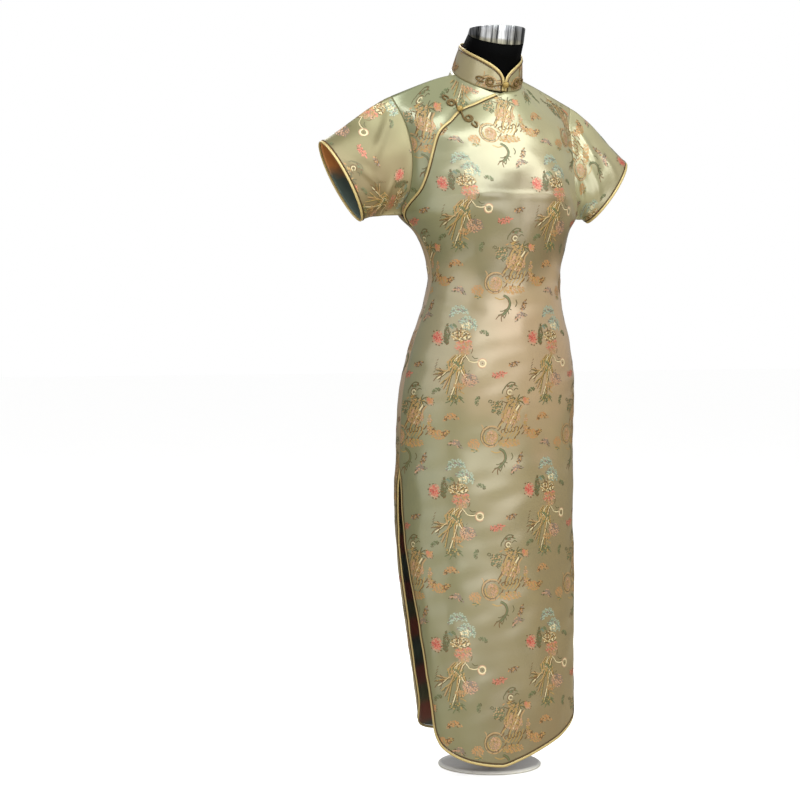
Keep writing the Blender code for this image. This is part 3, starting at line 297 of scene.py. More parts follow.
class Panel:
    """Front or back of the body: u runs from the right edge (-1) to the left edge (1)."""

    def __init__(self, name, rows, top_station, hem):
        self.name = name
        self.rows = rows
        self.front = name == "front"
        self.stations = np.array(rows["station"] + (top_station,))
        self.top = top_station
        self.hem = hem

    def key_points(self, u):
        keys = []
        table = zip(*(self.rows[c] for c in ("station", "half_width", "edge_y", "centre_y", "sweep")))
        for station, half, edge, centre, sweep in table:
            a = np.radians(sweep)
            x = half * np.sin(a * u) / np.sin(a)
            share = (np.cos(a * u) - np.cos(a)) / (1 - np.cos(a))
            z = np.full_like(x, station)
            if not self.front:
                z = z - BACK_EDGE_DROP.get(station, 0) * u**4
            keys.append(np.stack([x, edge + (centre - edge) * share, z], -1))
        keys.append(top_edge(u, self.front))
        return np.array(keys)

    def points(self, u, station):
        """One point for each pair of u and station."""
        u, station = np.broadcast_arrays(np.asarray(u, float), np.asarray(station, float))
        out = np.empty(u.shape + (3,))
        for value in np.unique(u):
            here = u == value
            out[here] = spline(self.stations, self.key_points(np.array(value)), station[here])
        return swell(out) if self.front else out

    def normals(self, u, station):
        u, station = np.broadcast_arrays(np.asarray(u, float), np.asarray(station, float))
        du, ds = 0.004, 0.003
        high = np.minimum(station + ds, self.top)
        across = self.points(np.minimum(u + du, 1), station) - self.points(np.maximum(u - du, -1), station)
        up = self.points(u, high) - self.points(u, station - ds)
        n = unit(np.cross(across, up))
        return n if self.front else -n


FRONT_PANEL = Panel("front", FRONT, FRONT_TOP, HEM_FRONT)
BACK_PANEL = Panel("back", BACK, BACK_TOP, HEM_BACK)


def hem_station(u, lowest):
    """Height of the hem: higher at the sides, with a rounded corner at each slit."""
    inward = np.clip((1 - np.abs(u)) * HALF_PANEL, 0, CORNER)
    corner = CORNER - np.sqrt(np.maximum(CORNER**2 - (CORNER - inward) ** 2, 0))
    rise = HEM_RISE * np.abs(u) ** HEM_CURVE
    if lowest == HEM_FRONT:
        share = np.clip((u - LEFT_HEM_START) / (1 - LEFT_HEM_START), 0, 1)
        straight = HEM_RISE * abs(LEFT_HEM_START) ** HEM_CURVE + LEFT_HEM_RISE * share**LEFT_HEM_CURVE
        rise = np.where(u > LEFT_HEM_START, straight, rise)
    return lowest + rise + corner


def slant_station(u):
    u = np.asarray(u, float)
    return spline(SLANT["across"], SLANT["station"], u.ravel()).reshape(u.shape)


# ---------------------------------------------------------------- creases
def ridges(table, chosen, x, y, scale):
    """Sum of the ridges; each fades at its ends and has a shallow trough beside it."""
    push = np.zeros(np.broadcast(x, y).shape)
    columns = [c for c in table if c not in ("panel", "side")]
    which = table["panel"] if "panel" in table else table["side"]
    for kind, x0, y0, x1, y1, width, height in zip(which, *(table[c] for c in columns)):
        if kind != chosen:
            continue
        p, q = np.array((x0, y0)) * scale, np.array((x1, y1)) * scale
        at = np.stack(np.broadcast_arrays(x * scale[0], y * scale[1]), -1)
        share = ((at - p) @ (q - p)) / ((q - p) @ (q - p))
        t = np.clip(share, 0, 1)
        off = np.linalg.norm(at - p - t[..., None] * (q - p), axis=-1) / width
        shape = np.exp(-(off**2)) - TROUGH_DEPTH * np.exp(-((off / TROUGH_WIDTH) ** 2))
        push += height * shape * np.sin(np.pi * (0.12 + 0.76 * t))
    return push


def ripple(x, y):
    push = 0.0
    for across, up, phase, height in zip(*RIPPLES.values()):
        push = push + height * np.sin(2 * np.pi * (across * x + up * y) + phase)
    return push


def panel_push(panel, u, station):
    """How far the creases move a panel's face out, still at seams, neckline and shoulders."""
    free = smooth((1 - np.abs(u)) * HALF_PANEL / SEAM_HOLD)
    free = np.where(station < SLIT_TOP - TOP_HOLD, 1.0, free)
    held = smooth((panel.top - 0.004 - station) / TOP_HOLD)
    push = ridges(BODY_CREASES, panel.name, u, station, np.array((HALF_PANEL, 1.0)))
    return (push + ripple(u * HALF_PANEL, station)) * free * held


def sleeve_push(side, share, along):
    scale = np.array((SLEEVE_AROUND, SLEEVE_LENGTH))
    push = ridges(SLEEVE_CREASES, side, share, along, scale)
    push = push + ripple(share * SLEEVE_AROUND, along * SLEEVE_LENGTH + side)
    return push * smooth(along / SLEEVE_HOLD) * smooth((1 - along) / SLEEVE_HOLD)


# ---------------------------------------------------------------- grids of cloth
COLUMNS = 109
ROW_STEP = 0.0042


def edge_spaced(count, pull=0.5):
    t = np.linspace(-1, 1, count)
    return (1 - pull) * t + pull * np.sin(np.pi * t / 2)


def stepped(low, high, step):
    """Even steps from low to high, without the last one."""
    count = max(int(round((high - low) / step)), 1)
    return low + (high - low) * np.arange(count) / count


CLOTH_U = np.sort(np.append(edge_spaced(COLUMNS), (NECK_SPAN, -NECK_SPAN)))
CLOTH_U[len(CLOTH_U) // 2] = 0.0
HEM_TOP = 0.17
CHEST_START = 1.015


def column_stations(u, panel, top):
    """Stations of every row: up from the hem, level in the skirt, then up to each column's top."""
    hem = hem_station(u, panel.hem)
    low = [hem + (HEM_TOP - hem) * s for s in stepped(0, 1, ROW_STEP / (HEM_TOP - panel.hem))]
    level = np.concatenate([stepped(HEM_TOP, SLIT_TOP, ROW_STEP), stepped(SLIT_TOP, CHEST_START, ROW_STEP)])
    body = [np.full_like(u, s) for s in level]
    underarm = (UNDERARM - CHEST_START) / (panel.top - CHEST_START)
    step = ROW_STEP / (panel.top - CHEST_START)
    shares = np.concatenate([stepped(0, underarm, step), stepped(underarm, 1, step), [1.0]])
    chest = [CHEST_START + (top - CHEST_START) * s for s in shares]
    return np.array(low + body + chest)


def panel_grid(panel, other, u, stations, shoulder, gap=SEAM / 2):
    """Creased points and normals of a panel, with the gap at its seams taken off."""
    across = np.broadcast_to(u, stations.shape)
    normals = panel.normals(across, stations)
    points = panel.points(across, stations) + normals * panel_push(panel, across, stations)[..., None]
    back = -1 if panel.front else 1
    for column in (0, -1):
        if abs(u[column]) < 1:
            continue
        seam = (stations[:, column] > SLIT_TOP - 0.001) & (stations[:, column] <= UNDERARM + 1e-6)
        at, edge = stations[seam, column], np.full(seam.sum(), u[column])
        normals[seam, column] = unit(panel.normals(edge, at) + other.normals(edge, at))
        points[seam, column, 1] += back * gap
    top = shoulder & (np.abs(u) > NECK_SPAN - 1e-6)
    front = FRONT_PANEL.normals(u[top], np.full(top.sum(), FRONT_TOP))
    rear = BACK_PANEL.normals(u[top], np.full(top.sum(), BACK_TOP))
    normals[-1, top] = unit(front + rear)
    points[-1, top, 1] += back * SEAM / 2
    return points, normals


front_tops = np.where(CLOTH_U < 0, slant_station(np.minimum(CLOTH_U, 0)), FRONT_TOP)
front_stations = column_stations(CLOTH_U, FRONT_PANEL, front_tops)
front_points, front_normals = panel_grid(
    FRONT_PANEL, BACK_PANEL, CLOTH_U, front_stations, CLOTH_U > 0)

back_stations = column_stations(CLOTH_U, BACK_PANEL, np.full_like(CLOTH_U, BACK_TOP))
back_points, back_normals = panel_grid(
    BACK_PANEL, FRONT_PANEL, CLOTH_U, back_stations, np.full(len(CLOTH_U), True))

UNDER_U = CLOTH_U[CLOTH_U < 1e-9]
UNDER_STEP = 0.018
UNDER_FOOT = SLANT["station"][0] - UNDERLAP
UNDER_ARM = (UNDERARM - UNDER_FOOT) / (FRONT_TOP - UNDER_FOOT)
UNDER_SHARES = np.concatenate([stepped(0, UNDER_ARM, UNDER_STEP), stepped(UNDER_ARM, 1, UNDER_STEP), [1.0]])
under_low = slant_station(UNDER_U) - UNDERLAP
under_stations = under_low + (FRONT_TOP - under_low) * UNDER_SHARES[:, None]
under_points, under_normals = panel_grid(
    FRONT_PANEL, BACK_PANEL, UNDER_U, under_stations, UNDER_U < 0, gap=UNDER_SEAM)

fine_u = np.linspace(-1, 0, 200)
slant_line = FRONT_PANEL.points(fine_u, slant_station(fine_u))
clear = np.linalg.norm(under_points[:, :, None] - slant_line, axis=-1).min(-1)
inset = UNDER_INSET * (1 - smooth((clear - INSET_FULL) / INSET_FADE))
under_points = under_points - under_normals * inset[..., None]

# ---------------------------------------------------------------- sleeves
ALONG = np.linspace(0, 1, 44)
CUFF_SQUARE = 0.12  # how far the cuff's opening is from an ellipse
SLEEVE_DROP = -0.12  # downward slope at the armhole, and what the shoulder's side adds
SHOULDER_DROP = 0.28
SLEEVE_EASE = 0.9


def armhole(side):
    """Armhole ring from the underarm up the front, over the shoulder and down the back."""
    front = (under_points, under_normals, under_stations) if side < 0 else (
        front_points, front_normals, front_stations)
    edge = 0 if side < 0 else -1
    points, normals, share = [], [], []
    for (p, n, stations), start in ((front, 0.0), ((back_points, back_normals, back_stations), 0.5)):
        rows = np.flatnonzero(stations[:, edge] > UNDERARM - 1e-6)
        q, m = p[rows, edge], n[rows, edge]
        if start:
            q, m = q[::-1], m[::-1]
        length = lengths(q)
        points.append(q[:-1])
        normals.append(m[:-1])
        share.append(start + 0.5 * length[:-1] / length[-1])
    return np.concatenate(points), np.concatenate(normals), np.concatenate(share)


def sleeve_grid(side, ring, share):
    """Outer face of a sleeve from the armhole ring to the flattened cuff opening."""
    cuff = CUFF[side]
    top, bottom = np.array(cuff["top"]), np.array(cuff["bottom"])
    middle, half = (top + bottom) / 2, (top - bottom) / 2
    turn = 2 * np.pi * share
    depth = np.sin(turn) * np.abs(np.sin(turn)) ** CUFF_SQUARE * cuff["half_depth"]
    end = middle - np.cos(turn)[:, None] * half + depth[:, None] * np.array((0, -1, 0))
    outward = unit(np.cross((0, side, 0), half))
    high = (1 - np.cos(turn))[:, None] / 2
    leave = unit(np.array((side, 0, SLEEVE_DROP)) - high * np.array((0, 0, SHOULDER_DROP)))
    length = np.linalg.norm(end - ring, axis=1)[:, None] * SLEEVE_EASE
    t = ALONG[:, None, None]
    grid = (
        (2 * t**3 - 3 * t**2 + 1) * ring
        + (t**3 - 2 * t**2 + t) * length * leave
        + (3 * t**2 - 2 * t**3) * end
        + (t**3 - t**2) * length * outward
    )
    return grid, outward


def ring_normals(grid):
    """Normals of a closed-ring grid, pointing away from the line through its ring centres."""
    around = np.roll(grid, -1, 1) - np.roll(grid, 1, 1)
    along = np.gradient(grid, axis=0)
    n = unit(np.cross(around, along))
    away = grid - grid.mean(1)[:, None]
    return n if (n * away).sum() > 0 else -n


def make_sleeve_grid(side):
    corners, body_out, share = armhole(side)
    grid, outward = sleeve_grid(side, corners - body_out * SEAM, share)
    normals = ring_normals(grid)
    grid = grid + normals * sleeve_push(side, share[None], ALONG[:, None])[..., None]
    normals = ring_normals(grid)
    normals[0] = unit(normals[0] + body_out)
    return {"points": grid, "normals": normals, "share": share, "outward": outward}


sleeves = {side: make_sleeve_grid(side) for side in (-1, 1)}

# ---------------------------------------------------------------- collar
COLLAR_ROWS = np.linspace(0, 1, 13)
COLLAR_END = (SEAM + BIND_WIDTH + 0.0006) / NECK["radius_y"]


def collar_lines(turn):
    """Neckline points at these angles, and the way up the collar from each."""
    base = neck_ring(turn) + np.array((0, 0, SEAM))
    head = np.stack([COLLAR_LEAN["radius"] * np.sin(turn),
                     COLLAR_LEAN["centre_y"] - COLLAR_LEAN["radius"] * np.cos(turn),
                     base[:, 2] + COLLAR_LEAN["rise"]], -1)
    return base, unit(head - base)


def make_collar_grid():
    ends = COLLAR_END + np.linspace(0, 0.42, 22) ** 1.6
    middle = np.linspace(ends[-1], 2 * np.pi - ends[-1], 150)[1:-1]
    turn = np.concatenate([ends, middle, 2 * np.pi - ends[::-1]])
    base, up = collar_lines(turn)
    from_end = (np.minimum(turn, 2 * np.pi - turn) - COLLAR_END) * NECK["radius_y"]
    rounding = 1 - np.clip(from_end / COLLAR_CURVE, 0, 1)
    tall = COLLAR_END_HEIGHT + (COLLAR_SIDE_HEIGHT - COLLAR_END_HEIGHT) * np.sqrt(1 - rounding**2)
    backward = smooth((np.minimum(turn, 2 * np.pi - turn) - COLLAR_LOWERS) / (np.pi - COLLAR_LOWERS))
    tall += (COLLAR_BACK_HEIGHT - COLLAR_SIDE_HEIGHT) * backward
    points = base + up * (tall * COLLAR_ROWS[:, None])[..., None]
    around = np.gradient(points, axis=1)
    normals = unit(np.cross(around, np.broadcast_to(up, points.shape)))
    facing = points - points.mean((0, 1))
    if (normals * facing * (1, 1, 0)).sum() < 0:
        normals = -normals
    puff = np.sin(np.pi * COLLAR_ROWS)[:, None] * (0.0003 + 0.00025 * np.sin(7 * turn))
    return {"points": points + normals * puff[..., None], "normals": normals, "turn": turn, "up": up}


collar = make_collar_grid()
for points, normals, u in ((front_points, front_normals, CLOTH_U), (under_points, under_normals, UNDER_U),
                           (back_points, back_normals, CLOTH_U)):
    on_neck = np.abs(u) < NECK_SPAN - 1e-6
    if points is front_points:
        on_neck &= u > -1e-6
    distance = np.linalg.norm(collar["points"][0][None] - points[-1, on_neck][:, None], axis=-1)
    normals[-1, on_neck] = unit(normals[-1, on_neck] + collar["normals"][0][distance.argmin(1)])


# ---------------------------------------------------------------- finishes
def linear(colour):
    """An sRGB colour, 0 to 255, as Blender's linear red, green, blue and alpha."""
    c = np.asarray(colour, float) / 255
    return (*np.where(c <= 0.04045, c / 12.92, ((c + 0.055) / 1.055) ** 2.4).tolist(), 1.0)


def new_group(name, inputs, outputs):
    """A shader node group with named sockets, given as (name, kind, default)."""
    tree = bpy.data.node_groups.new(name, "ShaderNodeTree")
    for label, kind, default in inputs:
        socket = tree.interface.new_socket(label, in_out="INPUT", socket_type="NodeSocket" + kind)
        socket.default_value = default
    for label, kind in outputs:
        tree.interface.new_socket(label, in_out="OUTPUT", socket_type="NodeSocket" + kind)
    return tree, tree.nodes.new("NodeGroupInput"), tree.nodes.new("NodeGroupOutput")


def connect(tree, socket, value):
    """Feeds a socket from another one, or gives it a constant."""
    if isinstance(value, bpy.types.NodeSocket):
        tree.links.new(value, socket)
    else:
        socket.default_value = value


def math_node(tree, operation, *values, clamp=False):
    """A math node fed by sockets or numbers; gives its output."""
    node = tree.nodes.new("ShaderNodeMath")
    node.operation = operation
    node.use_clamp = clamp
    for socket, value in zip(node.inputs, values):
        connect(tree, socket, value)
    return node.outputs[0]


def mix_node(tree, factor, first, second, blend="MIX"):
    """A colour mix fed by sockets or values; gives its output."""
    node = tree.nodes.new("ShaderNodeMix")
    node.data_type = "RGBA"
    node.blend_type = blend
    for place, value in ((0, factor), (6, first), (7, second)):
        connect(tree, node.inputs[place], value)
    return node.outputs[2]


def noise_node(tree, vector, scale, detail=2.0, roughness=0.5):
    node = tree.nodes.new("ShaderNodeTexNoise")
    node.inputs["Scale"].default_value = scale
    node.inputs["Detail"].default_value = detail
    node.inputs["Roughness"].default_value = roughness
    tree.links.new(vector, node.inputs["Vector"])
    return node.outputs["Fac"]


def stretch(tree, vector, scale):
    """A vector scaled by its own amount along each axis."""
    node = tree.nodes.new("ShaderNodeVectorMath")
    node.operation = "MULTIPLY"
    node.inputs[1].default_value = scale
    tree.links.new(vector, node.inputs[0])
    return node.outputs[0]


def split_node(tree, vector):
    """The parts of a vector, as sockets named X, Y and Z."""
    node = tree.nodes.new("ShaderNodeSeparateXYZ")
    tree.links.new(vector, node.inputs[0])
    return node.outputs


def ramp_node(tree, factor, stops, interpolation):
    """A colour ramp through stops given as (position, sRGB colour)."""
    node = tree.nodes.new("ShaderNodeValToRGB")
    node.color_ramp.interpolation = interpolation
    elements = node.color_ramp.elements
    while len(elements) < len(stops):
        elements.new(0.5)
    for element, (position, colour) in zip(elements, stops):
        element.position = position
        element.color = linear(colour)
    tree.links.new(factor, node.inputs[0])
    return node.outputs["Color"]


def satin_weave_group():
    """Fine warp floats: a height for the bump, and a slow change of tone over the cloth."""
    tree, given, out = new_group(
        "Satin Weave",
        (("Cloth", "Vector", (0, 0, 0)), ("Threads per Metre", "Float", 2600.0), ("Tone", "Float", 0.1)),
        (("Height", "Float"), ("Tone", "Float")))
    fibre = stretch(tree, given.outputs["Cloth"], (1.0, 0.05, 1.0))
    floats = tree.nodes.new("ShaderNodeTexNoise")
    floats.inputs["Detail"].default_value = 1.0
    tree.links.new(fibre, floats.inputs["Vector"])
    tree.links.new(given.outputs["Threads per Metre"], floats.inputs["Scale"])
    slow = noise_node(tree, given.outputs["Cloth"], 9.0, 3.0)
    centred = math_node(tree, "SUBTRACT", slow, 0.5)
    swing = math_node(tree, "MULTIPLY", centred, given.outputs["Tone"])
    tree.links.new(floats.outputs["Fac"], out.inputs["Height"])
    tree.links.new(math_node(tree, "MULTIPLY_ADD", swing, 2.0, 1.0), out.inputs["Tone"])
    return tree


def weft_bands_group():
    """Bands of the coloured figure wefts, which follow each other up the cloth."""
    tree, given, out = new_group(
        "Weft Bands",
        (("Cloth", "Vector", (0, 0, 0)), ("Length", "Float", 0.165)),
        (("Colour", "Color"),))
    wander = noise_node(tree, given.outputs["Cloth"], 30.0, 1.0)
    place = math_node(tree, "MULTIPLY_ADD", wander, 0.006, split_node(tree, given.outputs["Cloth"])["Y"])
    share = math_node(tree, "DIVIDE", place, given.outputs["Length"])
    colour = ramp_node(tree, math_node(tree, "FRACT", share), REVERSE_BANDS, "B_SPLINE")
    tree.links.new(colour, out.inputs["Colour"])
    return tree


def thread_twist_group():
    """Slanting ply of a thread or cord: a height, and a shade for the grooves."""
    tree, given, out = new_group(
        "Thread Twist",
        (("Place", "Vector", (0, 0, 0)), ("Scale", "Float", 900.0), ("Depth", "Float", 0.3)),
        (("Height", "Float"), ("Shade", "Float")))
    wave = tree.nodes.new("ShaderNodeTexWave")
    wave.bands_direction = "DIAGONAL"
    wave.inputs["Distortion"].default_value = 1.5
    tree.links.new(given.outputs["Place"], wave.inputs["Vector"])
    tree.links.new(given.outputs["Scale"], wave.inputs["Scale"])
    dark = math_node(tree, "SUBTRACT", 1.0, wave.outputs["Fac"])
    tree.links.new(wave.outputs["Fac"], out.inputs["Height"])
    tree.links.new(math_node(tree, "MULTIPLY", dark, given.outputs["Depth"]), out.inputs["Shade"])
    return tree


def metal_reflection_streaks_group():
    """Soft streaks of painted reflection on polished metal: a share between its dark and light tone, and
    their grain.
    """
    tree, given, out = new_group("Metal Painted Reflections", (("Place", "Vector", (0, 0, 0)),),
                                 (("Shade", "Float"), ("Grain", "Float")))
    grain = noise_node(tree, given.outputs["Place"], 1.0, 3.0)
    tree.links.new(math_node(tree, "MULTIPLY_ADD", grain, 5.5, -2.2, clamp=True), out.inputs["Shade"])
    tree.links.new(grain, out.inputs["Grain"])
    return tree


SATIN_WEAVE = satin_weave_group()
WEFT_BANDS = weft_bands_group()
THREAD_TWIST = thread_twist_group()
METAL_REFLECTION_STREAKS = metal_reflection_streaks_group()


class Finish:
    """A material with its Principled shader, and helpers that place nodes in it."""

    def __init__(self, name, colour, roughness, metallic=0.0, **constants):
        self.material = bpy.data.materials.new(name)
        self.material.use_nodes = True
        self.tree = self.material.node_tree
        self.shader = self.tree.nodes["Principled BSDF"]
        self.set("Base Color", linear(colour))
        self.set("Roughness", roughness)
        self.set("Metallic", metallic)
        for label, value in constants.items():
            self.set(label.replace("_", " "), value)

    def set(self, label, value):
        self.shader.inputs[label].default_value = value

    def feed(self, label, socket):
        self.tree.links.new(socket, self.shader.inputs[label])

    def group(self, group, **values):
        node = self.tree.nodes.new("ShaderNodeGroup")
        node.node_tree = group
        for label, value in values.items():
            connect(self.tree, node.inputs[label.replace("_", " ")], value)
        return node

    def cloth_place(self):
        node = self.tree.nodes.new("ShaderNodeUVMap")
        node.uv_map = "Cloth"
        return node.outputs["UV"]

    def place(self):
        return self.tree.nodes.new("ShaderNodeTexCoord").outputs["Object"]

    def bump(self, height, strength, distance):
        node = self.tree.nodes.new("ShaderNodeBump")
        node.inputs["Strength"].default_value = strength
        node.inputs["Distance"].default_value = distance
        self.tree.links.new(height, node.inputs["Height"])
        self.feed("Normal", node.outputs["Normal"])


def satin_painted_light_group():
    """Colour of the ground: painted shade and light by height up the cloth, a painted greener sheen towards
    one side, and random greener patches.
    """
    tree, given, out = new_group("Satin Painted Light", (("Cloth", "Vector", (0, 0, 0)),), (("Colour", "Color"),))
    cloth = given.outputs["Cloth"]
    place = split_node(tree, cloth)
    wander = math_node(tree, "SUBTRACT", noise_node(tree, cloth, 5.0, 2.0), 0.5)
    height = math_node(tree, "MULTIPLY_ADD", wander, 0.5, place["Y"])
    # Painted shade and light by height.
    tone = ramp_node(tree, math_node(tree, "DIVIDE", height, PAINTED_LIGHT_HEIGHT), GROUND_PAINTED_LIGHT, "EASE")
    patches = noise_node(tree, stretch(tree, cloth, (1.0, 0.6, 1.0)), 11.0, 3.0)
    # Painted sheen shift: greener towards negative cloth x.
    side = math_node(tree, "MULTIPLY", place["X"], -3.5)
    share = math_node(tree, "MULTIPLY_ADD", patches, 0.5, side, clamp=True)
    green = mix_node(tree, math_node(tree, "MULTIPLY", share, 0.8), tone, linear(GREEN_GROUND_AND_SHEEN))
    tree.links.new(green, out.inputs["Colour"])
    return tree


SATIN_PAINTED_LIGHT = satin_painted_light_group()


def brocade_face(name, worn=False):
    """Champagne satin ground of smooth warp floats; its colour carries painted shade, light and sheen by
    place, times a slow random tone.
    """
    f = Finish(name, SATIN_FACE, 0.26, 0.25, IOR=1.4 if worn else 1.9, Coat_Weight=0.0 if worn else 0.2,
               Coat_Roughness=0.16)
    weave = f.group(SATIN_WEAVE, Cloth=f.cloth_place(), Tone=0.10)
    # The ground's colour: painted shade, light and sheen.
    painted_light = f.group(SATIN_PAINTED_LIGHT, Cloth=f.cloth_place())
    f.feed("Base Color", mix_node(f.tree, 1.0, painted_light.outputs["Colour"], weave.outputs["Tone"], "MULTIPLY"))
    f.feed("Roughness", math_node(f.tree, "MULTIPLY_ADD", weave.outputs["Height"], 0.03,
                                  0.36 if worn else 0.27))
    f.bump(weave.outputs["Height"], 0.05, 0.0002)
    return f.material


def brocade_reverse(name, dyed):
    """Reverse side, where the coloured wefts float: in bands, or teal under tan in a sleeve."""
    f = Finish(name, (90, 80, 60), 0.55, Sheen_Weight=0.2)
    weave = f.group(SATIN_WEAVE, Cloth=f.cloth_place(), Tone=0.3)
    if dyed:
        wander = noise_node(f.tree, f.place(), 40.0, 2.0)
        height = math_node(f.tree, "MULTIPLY_ADD", wander, 0.03, split_node(f.tree, f.place())["Z"])
        share = math_node(f.tree, "MULTIPLY_ADD", height, 40.0, -40.0 * SLEEVE_BAND, clamp=True)
        floats = mix_node(f.tree, share, *map(linear, SLEEVE_REVERSE_TONES))
    else:
        floats = f.group(WEFT_BANDS, Cloth=f.cloth_place()).outputs["Colour"]
    f.feed("Base Color", mix_node(f.tree, 1.0, floats, weave.outputs["Tone"], "MULTIPLY"))
    f.bump(weave.outputs["Height"], 0.3, 0.0003)
    return f.material


def thread_finish(name):
    """One weft thread of the figures, with a constant colour and a fine twist."""
    f = Finish("Thread " + name.replace("_", " ").title(), THREADS[name], 0.36, 0.2, IOR=1.6)
    twist = f.group(THREAD_TWIST, Place=f.place(), Scale=620.0)
    f.bump(twist.outputs["Height"], 0.35, 0.0002)
    return f.material


def roll_satin(name):
    """Gold satin of the rolled bindings, cut on the bias."""
    colour = (192, 172, 118)
    f = Finish(name, colour, 0.36, 0.25, Coat_Weight=0.08, Coat_Roughness=0.3)
    twist = f.group(THREAD_TWIST, Place=f.place(), Scale=420.0, Depth=0.22)
    # The darker gold is painted shade in the twist's grooves.
    shade = mix_node(f.tree, twist.outputs["Shade"], linear(colour), linear((132, 106, 60)))
    f.feed("Base Color", shade)
    f.bump(twist.outputs["Height"], 0.25, 0.0002)
    return f.material


def cord_finish(name, colour, groove):
    # The groove colour is painted shade in the twist's grooves.
    f = Finish(name, colour, 0.40, 0.35)
    twist = f.group(THREAD_TWIST, Place=f.place(), Scale=300.0, Depth=0.6)
    f.feed("Base Color", mix_node(f.tree, twist.outputs["Shade"], linear(colour), linear(groove)))
    f.bump(twist.outputs["Height"], 0.5, 0.0003)
    return f.material


FACES = {name: brocade_face(name + " Brocade Face", worn=name == "Right Sleeve")
         for name in ("Front", "Under Front", "Back", "Right Sleeve", "Left Sleeve", "Collar")}
BODY_REVERSE = brocade_reverse("Brocade Reverse", False)
SLEEVE_REVERSE = brocade_reverse("Sleeve Brocade Reverse", True)
THREAD_FINISHES = [thread_finish(name) for name in THREAD_ORDER]
# Each cord's second colour is painted shade in its grooves.
EDGE_CORD = cord_finish("Edge Cord", (84, 62, 30), (40, 28, 14))
FROG_CORD = cord_finish("Frog Cord", (122, 98, 54), (48, 36, 20))
KNOT_CORD = cord_finish("Knot Cord", (178, 150, 84), (66, 50, 24))


# ---------------------------------------------------------------- meshes
def add_piece(name, points, faces, materials, slot, nodes, face_slots=None, uv=None):
    """A new piece on the body root that stands for CAD nodes."""
    mesh = bpy.data.meshes.new(name)
    mesh.from_pydata(np.asarray(points, float).tolist(), [], faces)
    for finish in materials:
        mesh.materials.append(finish)
    if face_slots is not None:
        mesh.polygons.foreach_set("material_index", np.asarray(face_slots, np.int32))
    if uv is not None:
        layer = mesh.uv_layers.new(name="Cloth")
        corner = np.empty(len(mesh.loops), np.int32)
        mesh.loops.foreach_get("vertex_index", corner)
        layer.data.foreach_set("uv", np.asarray(uv, np.float32)[corner].reshape(-1))
    mesh.shade_smooth()
    mesh.update()
    piece = bpy.data.objects.new(name, mesh)
    bpy.context.scene.collection.objects.link(piece)
    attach(piece, "root")
    if nodes:
        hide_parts(*nodes)
    return piece


def grid_faces(rows, cols, start, ring, flip):
    """Quads between neighbouring rows and columns of a grid whose first point is start."""
    r, c = np.meshgrid(np.arange(rows - 1), np.arange(cols if ring else cols - 1), indexing="ij")
    a = start + r * cols + c
    b = start + r * cols + (c + 1) % cols
    quads = np.stack([a, b, b + cols, a + cols], -1).reshape(-1, 4)
    return quads[:, ::-1] if flip else quads


def rim_faces(rim, inner):
    """Quads that join the rim of the outer face to the rim of the inner face."""
    after = np.roll(rim, -1)
    return np.stack([rim, inner + rim, inner + after, after], -1)


def cloth_shell(name, grid, normals, uv, face, reverse, slot, node, ring=False):
    """Closed thin cloth: the grid is its face, and its reverse lies one wall further in."""
    rows, cols = grid.shape[:2]
    outer = grid.reshape(-1, 3)
    points = np.concatenate([outer, (grid - normals * WALL).reshape(-1, 3)])
    inner = rows * cols
    first = np.cross(grid[1, 1] - grid[1, 0], grid[2, 1] - grid[1, 1])
    flip = float(first @ normals[1, 1]) < 0
    face_quads = grid_faces(rows, cols, 0, ring, flip)
    back_quads = grid_faces(rows, cols, inner, ring, not flip)
    if ring:
        rims = [np.arange(cols), (rows - 1) * cols + np.arange(cols)[::-1]]
    else:
        edge = [np.arange(cols - 1), np.arange(rows - 1) * cols + cols - 1,
                (rows - 1) * cols + np.arange(cols - 1, 0, -1), np.arange(rows - 1, 0, -1) * cols]
        rims = [np.concatenate(edge)]
    sides = np.concatenate([rim_faces(rim, inner) for rim in rims])
    if flip:
        sides = sides[:, ::-1]
    quads = np.concatenate([face_quads, back_quads, sides])
    slots = np.repeat((0, 1, 1), (len(face_quads), len(back_quads), len(sides)))
    flat = np.concatenate([uv.reshape(-1, 2)] * 2)
    return add_piece(name, points, quads.tolist(), (face, reverse), slot, [node], slots, flat)


